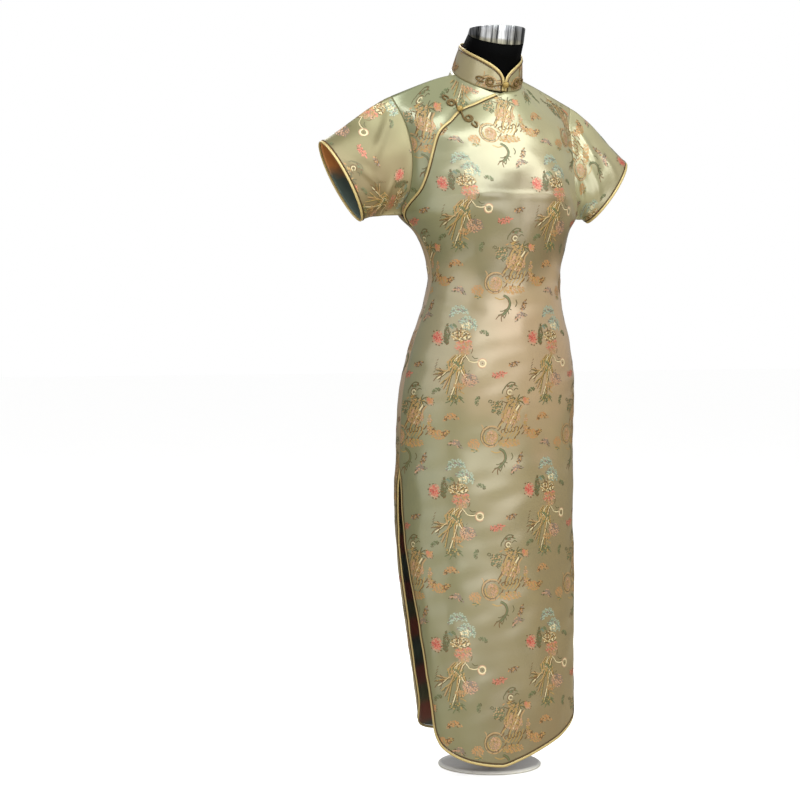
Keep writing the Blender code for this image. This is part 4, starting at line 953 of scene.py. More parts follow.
class FlatCloth:
    """Lays flat figures on a grid of cloth; x runs across from a zero column and y up, in metres."""

    SAMPLES = 241

    def __init__(self, points, normals, heights, zero_column, margin):
        arc = np.concatenate([np.zeros((len(points), 1)),
                              np.cumsum(np.linalg.norm(np.diff(points, axis=1), axis=2), axis=1)], 1)
        arc -= np.array([np.interp(zero_column, np.arange(arc.shape[1]), row) for row in arc])[:, None]
        self.heights = np.asarray(heights, float)
        self.left, self.right = arc[:, 0], arc[:, -1]
        data = np.concatenate([points, normals, margin[..., None]], -1)
        even = np.linspace(0, 1, self.SAMPLES)
        self.table = np.empty((len(points), self.SAMPLES, data.shape[-1]))
        for row, (x, values) in enumerate(zip(arc, data)):
            at = x[0] + even * (x[-1] - x[0])
            for k in range(values.shape[-1]):
                self.table[row, :, k] = np.interp(at, x, values[:, k])

    def lay(self, flat):
        """Points, normals and distance inside the cloth's edge for flat (x, y) pairs."""
        x, y = flat[:, 0], flat[:, 1]
        row = np.interp(y, self.heights, np.arange(len(self.heights)))
        low = np.clip(row.astype(int), 0, len(self.heights) - 2)
        total = 0.0
        outside = np.minimum(y - self.heights[0], self.heights[-1] - y)
        for step, weight in ((0, 1 - (row - low)), (1, row - low)):
            r = low + step
            share = (x - self.left[r]) / (self.right[r] - self.left[r])
            outside = np.minimum(outside, np.minimum(share, 1 - share) * (self.right[r] - self.left[r]))
            q = np.clip(share, 0, 1) * (self.SAMPLES - 1)
            c = np.clip(q.astype(int), 0, self.SAMPLES - 2)
            part = (q - c)[:, None]
            sample = self.table[r, c] * (1 - part) + self.table[r, c + 1] * part
            total = total + sample * weight[:, None]
        return total[:, :3], unit(total[:, 3:6]), np.minimum(total[:, 6], outside)

    def flat_of(self, row_height, share):
        """Flat place of grid points, given their heights and their share across each row."""
        left = np.interp(row_height, self.heights, self.left)
        right = np.interp(row_height, self.heights, self.right)
        return np.stack([left + (right - left) * share, row_height], -1)


def panel_flat(panel, low_u, high_u, top, floor):
    """Flat map of a panel between two values of u, right way up seen from outside."""
    stations = np.arange(panel.hem - 0.004, panel.top - 0.0005, 0.004)
    u = np.linspace(low_u, high_u, 161)
    grid_u, grid_s = np.broadcast_arrays(u, stations[:, None])
    normals = panel.normals(grid_u, grid_s)
    points = panel.points(grid_u, grid_s) + normals * panel_push(panel, grid_u, grid_s)[..., None]
    middle = panel.points(np.zeros(len(stations)), stations)
    heights = lengths(middle)
    heights -= np.interp(HEM_FRONT, stations, heights)
    edge = (1 - np.abs(grid_u)) * HALF_PANEL
    margin = np.minimum(np.minimum(grid_s - floor(grid_u), top(grid_u) - grid_s), edge)
    zero = np.interp(0.0, u, np.arange(len(u))) if high_u > 0 else len(u) - 1
    if not panel.front:
        points, normals, margin = points[:, ::-1], normals[:, ::-1], margin[:, ::-1]
        zero = len(u) - 1 - zero
    return FlatCloth(points, normals, heights, zero, margin), stations, heights


def body_cloth(name, panel, u, grid, low, high, top, floor, node):
    """One panel's cloth between two values of u, and the flat map of it."""
    points, normals, stations = grid
    flat, at, heights = panel_flat(panel, low, high, top, floor)
    share = (np.broadcast_to(u, stations.shape) - low) / (high - low)
    if not panel.front:
        share = 1 - share
    uv = flat.flat_of(np.interp(stations, at, heights), share)
    cloth = cloth_shell(name + "_Cloth", points, normals, uv, FACES[name.replace("_", " ")], BODY_REVERSE,
                        name.lower() + "_brocade", node)
    return cloth, flat


front_cloth, front_flat = body_cloth(
    "Front", FRONT_PANEL, CLOTH_U, (front_points, front_normals, front_stations), -1, 1,
    lambda u: np.where(u < 0, slant_station(np.minimum(u, 0)), FRONT_TOP),
    lambda u: hem_station(u, HEM_FRONT), "Front_Panel")
under_cloth, under_flat = body_cloth(
    "Under_Front", FRONT_PANEL, UNDER_U, (under_points, under_normals, under_stations), -1, 0,
    lambda u: np.full_like(u, FRONT_TOP), slant_station, "Under_Front")
back_cloth, back_flat = body_cloth(
    "Back", BACK_PANEL, CLOTH_U, (back_points, back_normals, back_stations), -1, 1,
    lambda u: np.full_like(u, BACK_TOP), lambda u: hem_station(u, HEM_BACK), "Back_Panel")


def tube_flat(side):
    """Flat map of a sleeve: up is towards the shoulder, zero is the middle of its front."""
    sleeve = sleeves[side]
    points = np.concatenate([sleeve["points"], sleeve["points"][:, :1]], 1)[::-1]
    normals = np.concatenate([sleeve["normals"], sleeve["normals"][:, :1]], 1)[::-1]
    share = np.append(sleeve["share"], 1.0)
    front = np.abs(share - 0.25).argmin()
    heights = lengths(points[:, np.abs(share - 0.35).argmin()])
    if side < 0:
        points, normals = points[:, ::-1], normals[:, ::-1]
        front = len(share) - 1 - front
    margin = np.full(points.shape[:2], 0.05)
    return FlatCloth(points, normals, heights, front, margin), heights, share


UPPER_PAINTED_LIGHT_HEIGHT = 1.15  # the collar's and the left sleeve's height in the ground's painted light, a lighter part of it
# The right sleeve's height in it, a darker part: painted shade on that sleeve.
NEAR_SLEEVE_PAINTED_SHADE_HEIGHT = 0.98
sleeve_cloths, sleeve_flats = {}, {}
for side, name in ((-1, "Right"), (1, "Left")):
    flat, heights, share = tube_flat(side)
    sleeve_flats[side] = flat
    across = 1 - share[:-1] if side < 0 else share[:-1]
    uv = flat.flat_of(np.repeat(heights[::-1][:, None], len(across), 1), across)
    uv = uv + (0, NEAR_SLEEVE_PAINTED_SHADE_HEIGHT if side < 0 else UPPER_PAINTED_LIGHT_HEIGHT)
    sleeve_cloths[side] = cloth_shell(
        name + "_Sleeve_Cloth", sleeves[side]["points"], sleeves[side]["normals"], uv,
        FACES[name + " Sleeve"], SLEEVE_REVERSE, name.lower() + "_sleeve_brocade", name + "_Sleeve",
        ring=True)

collar_height = lengths(collar["points"][:, collar["points"].shape[1] // 2])
collar_flat = FlatCloth(collar["points"], collar["normals"], collar_height,
                        collar["points"].shape[1] // 2, np.full(collar["points"].shape[:2], 0.05))
collar_x = lengths(collar["points"][0])
# The collar sits in a lighter part of the ground's painted light.
collar_uv = np.stack(np.broadcast_arrays(collar_x, collar_height[:, None] + UPPER_PAINTED_LIGHT_HEIGHT), -1)
collar_cloth = cloth_shell("Collar_Cloth", collar["points"], collar["normals"], collar_uv,
                           FACES["Collar"], BODY_REVERSE, "collar_brocade", "Collar")


def released(ball):
    """Points and faces of a bmesh, which is then let go."""
    ball.verts.index_update()
    points = np.array([v.co for v in ball.verts])
    faces = [[v.index for v in face.verts] for face in ball.faces]
    ball.free()
    return points, faces


def surface_tree(*pieces):
    """Search tree over the faces of these pieces."""
    corners, faces = [], []
    for piece in pieces:
        mesh = piece.data
        mesh.calc_loop_triangles()
        start = len(corners)
        corners.extend(v.co.copy() for v in mesh.vertices)
        faces.extend(tuple(start + i for i in t.vertices) for t in mesh.loop_triangles)
    return BVHTree.FromPolygons(corners, faces)


# ---------------------------------------------------------------- bindings
def evened(path, step, *others):
    """A path at even steps, with what goes along it; corners are softened a little."""
    length = lengths(path)
    at = np.linspace(0, length[-1], int(length[-1] / step) + 1)
    out = []
    for values in (path, *others):
        even = np.stack([np.interp(at, length, values[:, k]) for k in range(3)], -1)
        for _ in range(2):
            even[1:-1] = (even[:-2] + 2 * even[1:-1] + even[2:]) / 4
        out.append(even)
    return out


def swept(path, across, out, profile, ring):
    """Points and faces of a bar with a profile that may change along it."""
    count = profile.shape[1]
    points = (path[:, None] + across[:, None] * profile[..., :1] + out[:, None] * profile[..., 1:])
    steps = len(path) if ring else len(path) - 1
    i, k = np.meshgrid(np.arange(steps), np.arange(count), indexing="ij")
    j, m = (i + 1) % len(path), (k + 1) % count
    quads = np.stack([i * count + k, j * count + k, j * count + m, i * count + m], -1).reshape(-1, 4)
    faces = quads.tolist()
    if not ring:
        faces.append(list(range(count)))
        faces.append(list(range(len(path) * count - 1, (len(path) - 1) * count - 1, -1)))
    return points.reshape(-1, 3), faces


def turned_out(points, faces):
    """The faces, turned so that they enclose a positive volume."""
    volume = 0.0
    for face in faces:
        corner = points[face]
        volume += float((np.cross(corner[1:-1], corner[2:]) @ corner[0]).sum())
    return [face[::-1] for face in faces] if volume < 0 else faces


def roll_profile(count, shrink):
    """Section of the satin roll: rounded, from the cloth's edge outwards."""
    turn = np.linspace(0, 2 * np.pi, 12, endpoint=False)
    half = BIND_WIDTH / 2
    middle_out = (BIND_RISE - WALL) / 2
    tall = (BIND_RISE + WALL) / 2
    flat = np.stack([np.sign(np.cos(turn)) * np.abs(np.cos(turn)) ** 0.8,
                     np.sign(np.sin(turn)) * np.abs(np.sin(turn)) ** 0.8], -1)
    profile = np.broadcast_to(flat, (count, 12, 2)) * np.array((half, tall))
    profile = profile * shrink[:, None, None]
    return profile + np.array((SEAM + half, middle_out))


def round_profile(count, radius, across, out):
    turn = np.linspace(0, 2 * np.pi, 8, endpoint=False)
    circle = np.stack([np.cos(turn), np.sin(turn)], -1) * radius + np.array((across, out))
    return np.broadcast_to(circle, (count, 8, 2))


ROLL_STEP = 0.0026
NARROWEST = 0.16  # share of a roll's section that is left at its narrowed end
EDGE_CORD_RADIUS = 0.0011
EDGE_CORD_IN = -0.0012
EDGE_CORD_OUT = 0.0005


def binding(name, path, out, away, satin, slot, node, ring=False, narrow=0.0):
    """Rolled satin along an edge, with a dark cord laid between it and the cloth."""
    if ring:
        path, out, away = (np.concatenate([v, v[:1]]) for v in (path, out, away))
    path, out, away = evened(path, ROLL_STEP, out, away)
    if ring:
        path, out, away = path[:-1], out[:-1], away[:-1]
        along = np.roll(path, -1, 0) - np.roll(path, 1, 0)
    else:
        along = np.gradient(path, axis=0)
    across = unit(np.cross(along, out))
    across *= np.where((across * away).sum(-1, keepdims=True) < 0, -1, 1)
    out = unit(out)
    distance = lengths(path)
    turns = distance * 2 * np.pi
    shrink = 1 + 0.025 * np.sin(turns / 0.019) + 0.02 * np.sin(turns / 0.0073)  # a little uneven
    ends = np.minimum(distance, distance[-1] - distance) / max(narrow, 1e-6)
    ends = np.clip(ends, NARROWEST, 1)[:, None, None] if narrow else 1.0
    roll_points, roll_faces = swept(path, across, out, roll_profile(len(path), shrink) * ends, ring)
    cord_section = round_profile(len(path), EDGE_CORD_RADIUS, EDGE_CORD_IN, EDGE_CORD_OUT) * ends
    cord_points, cord_faces = swept(path, across, out, cord_section, ring)
    roll_faces = turned_out(roll_points, roll_faces)
    cord_faces = turned_out(cord_points, cord_faces)
    faces = roll_faces + [[i + len(roll_points) for i in face] for face in cord_faces]
    slots = [0] * len(roll_faces) + [1] * len(cord_faces)
    return add_piece(name, np.concatenate([roll_points, cord_points]), faces,
                     (satin, EDGE_CORD), slot, [node], slots)


def hem_edge(points, normals, stations, cloth_side):
    """Path down one slit, round the hem and up the other slit, and the ways out and off the cloth."""
    first = int(np.argmin(np.abs(stations[:, 0] - BINDING_TOP)))
    last = points.shape[1] - 1
    order = [(r, 0) for r in range(first, 0, -1)]
    down = len(order)
    order += [(0, c) for c in range(last + 1)]
    up = len(order)
    order += [(r, last) for r in range(1, first + 1)]
    order = np.array(order)
    away = np.tile((0.0, 0.0, -1.0), (len(order), 1))
    away[:down] = (0, cloth_side, 0)
    away[up:] = (0, cloth_side, 0)
    return points[order[:, 0], order[:, 1]], normals[order[:, 0], order[:, 1]], away


front_binding, back_binding = (
    binding(name + "_Hem_Roll", *hem_edge(*grid, cloth_side), roll_satin(name + " Hem Satin"),
            name.lower() + "_hem_satin", name + "_Hem_Binding", narrow=BINDING_TOP - BINDING_FULL)
    for name, grid, cloth_side in (("Front", (front_points, front_normals, front_stations), 1),
                                   ("Back", (back_points, back_normals, back_stations), -1)))
cuff_bindings = {}
for side, name in ((-1, "Right"), (1, "Left")):
    sleeve = sleeves[side]
    edge = sleeve["points"][-1]
    cuff_bindings[side] = binding(
        name + "_Cuff_Roll", edge, sleeve["normals"][-1], np.broadcast_to(sleeve["outward"], edge.shape),
        roll_satin(name + " Cuff Satin"), name.lower() + "_cuff_satin", name + "_Cuff_Binding", ring=True)

slanted = np.flatnonzero((CLOTH_U < -1e-6) & (front_tops < FRONT_TOP - 0.0085))
slant_path = front_points[-1, slanted]
slant_binding = binding("Slant_Roll", slant_path, front_normals[-1, slanted],
                        np.broadcast_to((-0.5, 0, 1.0), slant_path.shape),
                        roll_satin("Slant Satin"), "slant_satin", "Slant_Binding")


def collar_edge():
    """Path up one front end of the collar, round its top and down the other end."""
    grid, out = collar["points"], collar["normals"]
    inner = slice(1, len(COLLAR_ROWS) - 1)
    path = np.concatenate([[grid[0, 0] + collar["up"][0] * 0.0009], grid[inner, 0], grid[-1],
                           grid[inner, -1][::-1], [grid[0, -1] + collar["up"][-1] * 0.0009]])
    normals = np.concatenate([out[:-1, 0], out[-1], out[-2::-1, -1]])
    ends = len(COLLAR_ROWS) - 1
    away = np.concatenate([np.tile((-1.0, 0, 0), (ends, 1)), np.tile((0, 0, 1.0), (grid.shape[1], 1)),
                           np.tile((1.0, 0, 0), (ends, 1))])
    away[ends] = (-0.7, 0, 0.7)
    away[-ends - 1] = (0.7, 0, 0.7)
    return path, normals, away


collar_binding = binding("Collar_Roll", *collar_edge(), roll_satin("Collar Satin"), "collar_satin",
                         "Collar_Binding")

# ---------------------------------------------------------------- knotted frogs
KNOT_HEIGHT = 0.0135
COLLAR_ROUND = 0.068  # radius that the collar's frog is laid round
FROG_STEP = 0.0006
WRAP_PITCH = 0.0034
FROG_AT = (-0.440, 1.2555)
FROG_DIRECTION = {"Upper": (-0.38, 0.62, 0.68), "Lower": (0.42, -0.55, -0.72)}
CORD_SLOPE = 0.5


def coil_path(end=0.030, outer=0.0085, inner=0.0034, turns=1.6, count=60):
    """Cord from the knot that runs under the coil and winds in; flat, knot at the origin."""
    lead = np.stack([np.linspace(0.0049, end - 0.004, 14), np.linspace(-0.001, -outer, 14)], -1)[:-1]
    turn = np.linspace(0, 2 * np.pi * turns, count)
    radius = outer + (inner - outer) * turn / turn[-1]
    wound = np.stack([end + radius * np.sin(turn), -radius * np.cos(turn)], -1)
    return np.concatenate([lead, wound])


def leaf_path(start=0.0412, tip=0.058, half=0.0042, count=36):
    """Narrow leaf of cord beyond the coil, its two ends side by side."""
    t = np.linspace(0.08, 0.92, count) * 2 * np.pi
    middle, reach = (start + tip) / 2, (tip - start) / 2
    return np.stack([middle - reach * np.cos(t), half * np.sin(t) * (1 + 0.3 * np.cos(t))], -1)


def on_panel(flat, centre, direction, panel):
    """Flat points set on a panel round a centre (u, station), with the normals there."""
    u, h = np.full(len(flat), centre[0]), np.full(len(flat), centre[1])
    origin = panel.points(np.array([centre[0]]), np.array([centre[1]]))[0]
    n = panel.normals(np.array([centre[0]]), np.array([centre[1]]))[0]
    d = unit(np.asarray(direction, float) - n * np.dot(direction, n))
    e = np.cross(n, d)
    for _ in range(12):
        p = panel.points(u, h)
        off = flat - np.stack([(p - origin) @ d, (p - origin) @ e], -1)
        pu = (panel.points(u + 0.002, h) - p) / 0.002
        ph = (panel.points(u, h + 0.001) - p) / 0.001
        a, b, c, f = pu @ d, ph @ d, pu @ e, ph @ e
        det = a * f - b * c
        u = np.clip(u + np.clip((off[:, 0] * f - off[:, 1] * b) / det, -0.1, 0.1), -0.99, 0.99)
        h = h + np.clip((a * off[:, 1] - c * off[:, 0]) / det, -0.03, 0.03)
        h = np.minimum(h, panel.top - 0.001)
    return panel.points(u, h), panel.normals(u, h)


def on_collar(flat, side):
    """Flat points set on the collar, across from the centre front and up from the neckline."""
    angle = flat[:, 0] / COLLAR_ROUND * side
    base, up = collar_lines(angle)
    n = unit(np.cross(neck_ring(angle + 0.01) - neck_ring(angle - 0.01), up))
    return base + up * flat[:, 1:2], n


def seat_height(point, normal, tree, reach, depth):
    """How far along its normal a rounded piece's middle lies when it rests on the tree's faces."""
    side = unit(np.cross(normal, (0.3, 0.2, 0.9)))
    other = np.cross(normal, side)
    start = 0.02
    best = -start
    for share in (0.0, 0.5, 0.95):
        for turn in np.linspace(0, 2 * np.pi, 8, endpoint=False):
            foot = point + (side * np.cos(turn) + other * np.sin(turn)) * reach * share
            hit = tree.ray_cast(Vector(foot + normal * start), Vector(-normal), 2 * start)
            if hit[0] is not None:
                best = max(best, start - hit[3] + 0.0001 + depth * np.sqrt(1 - share**2))
    return best


def frog_cord(name, path, normals, tree, node):
    """Satin-wrapped cord laid along a path, its wrapping raised in slanting turns."""
    height = np.array([seat_height(p, n, tree, CORD, CORD) for p, n in zip(path, normals)])
    along = lengths(path)
    height = (height - CORD_SLOPE * np.abs(along[:, None] - along)).max(1)
    path = path + normals * height[:, None]
    path, normals = evened(path, FROG_STEP, normals)
    normals = unit(normals)
    across = unit(np.cross(np.gradient(path, axis=0), normals))
    turn = np.linspace(0, 2 * np.pi, 12, endpoint=False)
    wrap = turn[None] - lengths(path)[:, None] / WRAP_PITCH * 2 * np.pi
    ends = np.minimum(lengths(path), lengths(path)[-1] - lengths(path))
    blunt = np.sqrt(1 - (1 - np.clip(ends / CORD, 0.08, 1)) ** 2)
    radius = CORD * (1.18 + 0.12 * np.abs(np.cos(1.5 * wrap))) * blunt[:, None]
    section = np.stack([np.cos(turn) * radius, np.sin(turn) * radius], -1)
    points, faces = swept(path, across, normals, section, False)
    return add_piece(name, points, turned_out(points, faces), (FROG_CORD,), "frog_cord", [node])


def frog_knot(name, place, normal, tree, node):
    """Knot button: a flattened ball with the cord's turns raised on it."""
    depth = KNOT_RADIUS * KNOT_FLATTEN
    centre = place + normal * seat_height(place, normal, tree, KNOT_RADIUS, depth)
    ball = bmesh.new()
    bmesh.ops.create_uvsphere(ball, u_segments=36, v_segments=24, radius=KNOT_RADIUS)
    for corner in ball.verts:
        x, y, z = corner.co / KNOT_RADIUS
        strands = abs(math.sin(5.5 * (x + 0.6 * z))) * abs(math.sin(5.5 * (y - 0.6 * z)))
        corner.co *= 0.93 + 0.12 * math.sqrt(strands)
    turn = Vector(normal).to_track_quat("Z", "Y").to_matrix().to_4x4()
    place = Matrix.Translation(centre) @ turn @ Matrix.Diagonal((1, 1, KNOT_FLATTEN, 1))
    bmesh.ops.transform(ball, matrix=place, verts=ball.verts)
    return add_piece(name, *released(ball), (KNOT_CORD,), "frog_cord", [node])


frogs = {"Collar": [], "Chest": []}
collar_tree = surface_tree(collar_cloth, collar_binding)
for side, name in ((-1, "Right"), (1, "Left")):
    for kind, flat in (("Coil", coil_path()), ("Leaf", leaf_path())):
        path, out = on_collar(flat + np.array((0, KNOT_HEIGHT + 0.002)), side)
        frogs["Collar"].append(frog_cord("Collar_" + kind + "_Cord_" + name, path, out, collar_tree,
                                         "Collar_" + kind + "_" + name))
place, out = on_collar(np.array([(0.0, KNOT_HEIGHT)]), 1)
frogs["Collar"].append(frog_knot("Collar_Knot_Button", place[0], out[0], collar_tree, "Collar_Knot"))

chest_tree = surface_tree(front_cloth, under_cloth, slant_binding)
for name, direction in FROG_DIRECTION.items():
    for kind, flat in (("Coil", coil_path(end=0.026)), ("Leaf", leaf_path(start=0.0372, tip=0.050))):
        path, out = on_panel(flat, FROG_AT, direction, FRONT_PANEL)
        frogs["Chest"].append(frog_cord("Chest_" + kind + "_Cord_" + name, path, out, chest_tree,
                                        "Chest_" + kind + "_" + name))
place, out = on_panel(np.zeros((1, 2)), FROG_AT, FROG_DIRECTION["Upper"], FRONT_PANEL)
frogs["Chest"].append(frog_knot("Chest_Knot_Button", place[0], out[0], chest_tree, "Chest_Knot"))

# ---------------------------------------------------------------- woven figures, drawn in millimetres
def spiral(x, y, start_radius, end_radius, start, sweep, count=9):
    """Points along a spiral round (x, y); angles in degrees."""
    t = np.linspace(0, 1, count)
    angle = np.radians(start + sweep * t)
    radius = start_radius + (end_radius - start_radius) * t
    return list(zip(x + radius * np.cos(angle), y + radius * np.sin(angle)))


def beside(path, distance):
    """A path moved sideways to its left."""
    path = np.asarray(path, float)
    along = unit(np.gradient(path, axis=0))
    return path + np.stack([-along[:, 1], along[:, 0]], -1) * distance


def fan(thread, width, root, ends, bend=0.0):
    """Threads that leave one place for several ends, each bowed by a share of its length."""
    strokes = []
    for x, y in ends:
        middle = ((root[0] + x) / 2 - bend * (y - root[1]), (root[1] + y) / 2 + bend * (x - root[0]))
        strokes.append((thread, width, [root, middle, (x, y)]))
    return strokes


def hatched(threads, x, y, across, up, turn=0.0, reach=4.4, step=2.1):
    """Oval patch of short weft floats in mixed threads, thinner towards its edge."""
    strokes = []
    c, s = math.cos(math.radians(turn)), math.sin(math.radians(turn))
    for i, v in enumerate(np.arange(-up / 2, up / 2 + 0.01, step)):
        half = across / 2 * math.sqrt(max(1 - (2 * v / up) ** 2, 0.04))
        for j, u in enumerate(np.arange(-half + (i % 2) * 0.4 * reach, half, reach)):
            mixed = math.sin(7.3 * i + 3.1 * j + 0.4 * (x + y))
            ends = [(u, v + 0.5 * mixed), (u + reach * (0.86 + 0.25 * mixed), v + 0.9 * mixed * (-1) ** j)]
            ends = [(x + c * a - s * b, y + s * a + c * b) for a, b in ends]
            strokes.append((threads[int(97 * abs(mixed)) % len(threads)], 1.1 * step * (1 + 0.2 * mixed),
                            ends))
    return strokes


def patches(*rows):
    """Several oval patches, a row of measures for each."""
    return [stroke for row in rows for stroke in hatched(*row)]


def dragon():
    """Dragon with a mane and a long ribbed body over a round coil; about 105 wide and 135 tall."""
    # Soft grounds under the body, the flames and the coil.
    strokes = patches(
        (("tan", "gold", "orange"), 6, -50, 44, 16), (("tan", "pink", "gold"), 40, -14, 8, 38),
        (("orange", "tan", "orange"), -64, -50, 24, 18), (("gold", "green"), -62, -64, 18, 5),
        (("tan", "pink"), -30, -38, 22, 26, 0, 3.6), (("gold", "bronze", "tan"), 8, 29, 22, 20),
        (("tan", "gold", "pink"), 8, 0, 30, 40, 76, 5.0))
    # Long ribs of the body, pale between brown, each broken by short turns.
    for k, pale in enumerate(("gold", "tan", "gold", "cream", "tan")):
        x = -5 + 7.2 * k
        sway = (2.4, -1.8, 1.2, -1.4, 2.2)[k]
        low = (-20, -12, -24, -15, -21)[k]
        strokes.append((pale, 2.8, [(x + 11, 30 - 2 * k), (x + 3, 16 - k), (x - 1 + sway, 0), (x - 11, low)]))
        strokes.append(("brown", 1.7,
                        [(x + 7.6, 31 - 2 * k), (x - 0.4, 16 - k), (x - 4.6 + sway, 0), (x - 14.4, low - 1)]))
        strokes.append(("brown", 2.0, spiral(x - 2, -28 + 1.5 * k, 5.0, 3.4, 70 * k, 250, 8)))
        strokes.append(("gold", 1.8, [(x + 6.5, -21 + 2 * k), (x + 1, -30), (x - 6, -38)]))
        strokes.append(("brown", 1.5, [(x + 0.2 * low, low + 12), (x + 4 + 0.2 * low, low + 9)]))
    for x, y in ((33, -20), (26, -32), (18, -41), (-10, -42), (2, -44), (37, -30), (-14, -22)):
        strokes.append(("brown", 2.4, [(x + 3, y + 5), (x + 0.5, y), (x - 4, y - 4)]))
    # Loose round coil, joined to the body.
    loops = ((1.0, "tan", 2.6, 40, 300), (0.84, "brown", 1.3, 70, 240), (0.66, "gold", 2.4, 160, 250),
             (0.42, "tan", 2.2, -60, 230), (1.08, "bronze", 1.2, 110, 120))
    for size, thread, width, start, turn in loops:
        strokes.append((thread, width, spiral(-30, -38, 21 * size, 18 * size, start, turn, 13)))
    for a in np.radians(range(60, 370, 38)):
        c, s = math.cos(a), math.sin(a)
        strokes.append(("brown", 1.2,
                        [(-30 + 19 * c, -38 + 20 * s), (-30 + 14 * c - 4 * s, -38 + 15 * s + 4 * c)]))
    strokes += [("brown", 1.3, [(-36, -36), (-30, -32), (-24, -37), (-30, -44)]),
                ("tan", 2.6, [(-14, -26), (-8, -33), (0, -38)]),
                ("gold", 2.4, [(-12, -50), (-4, -52), (4, -46)]),
                ("tan", 1.8, [(-50, -14), (-46, -20), (-48, -30)])]
    # Neck and head, with its eye, jaw, horns and whiskers.
    strokes += [("gold", 5, [(-4, 36), (6, 41)]), ("brown", 1.8, [(-9, 30), (-1, 27), (8, 31)]),
                ("brown", 1.6, [(-6, 40), (2, 38), (13, 42)]), ("cream", 1.6, spiral(4, 47, 4.6, 4, 0, 330)),
                ("brown", 1.4, spiral(4, 47, 7.4, 6.6, 30, 260)), ("brown", 2.4, [(3, 47), (5, 47.5)]),
                ("bronze", 2.4, [(-9, 52), (-3, 60), (6, 66), (16, 64)]),
                ("green", 2.0, [(2, 56), (10, 61), (20, 58)]),
                ("bronze", 2.0, [(-11, 44), (-10, 51), (-5, 56)]),
                ("bronze", 1.8, [(12, 50), (17, 55), (22, 52)]), ("orange", 2.2, [(-8, 37), (-14, 34)])]
    strokes += hatched(("bronze", "green", "brown"), 6, 59, 20, 5, 12, 3.4)
    # Crest of spikes behind the head, and the mane's curls.
    strokes += fan("bronze", 2.2, (22, 31), ((17, 21), (26, 43), (35, 38), (36, 24), (28, 19), (13, 35)), 0.1)
    strokes += fan("gold", 1.6, (22, 31), ((31, 30), (22, 20), (20, 38)), 0.1)
    strokes += hatched(("green", "tan", "bronze"), -22, 18, 22, 24, 30, 3.6, 2.6)
    curls = ((-34, 29, 4.5, 200), (-22, 23, 5.5, 120), (-28, 12, 4.5, 20), (-15, 8, 5, 260),
             (-14, 28, 4.5, 60))
    for x, y, size, turn in curls:
        strokes.append(("bronze", 2.0, spiral(x, y, size, 1.2, turn, -430, 11)))
    # Tail that runs down from the coil, with its tufts.
    tail = [(-14, -60), (-4, -66), (0, -78), (-7, -90), (-17, -99)]
    strokes += [("green", 3.0, tail), ("bronze", 1.4, beside(tail, 2.0)), ("brown", 1.2, beside(tail, -2.0))]
    strokes += fan("bronze", 1.8, (-8, -86), ((-2, -96), (-12, -104), (-24, -98), (-20, -90), (4, -88)), 0.15)
    strokes += fan("brown", 1.8, (-15, -96), ((-28, -106), (-16, -110), (-10, -103)), -0.12)
    return strokes + [("bronze", 1.8, [(12, -68), (15, -76), (11, -82)]),
                      ("gold", 2.0, [(-30, -64), (-20, -68), (-10, -66)])]


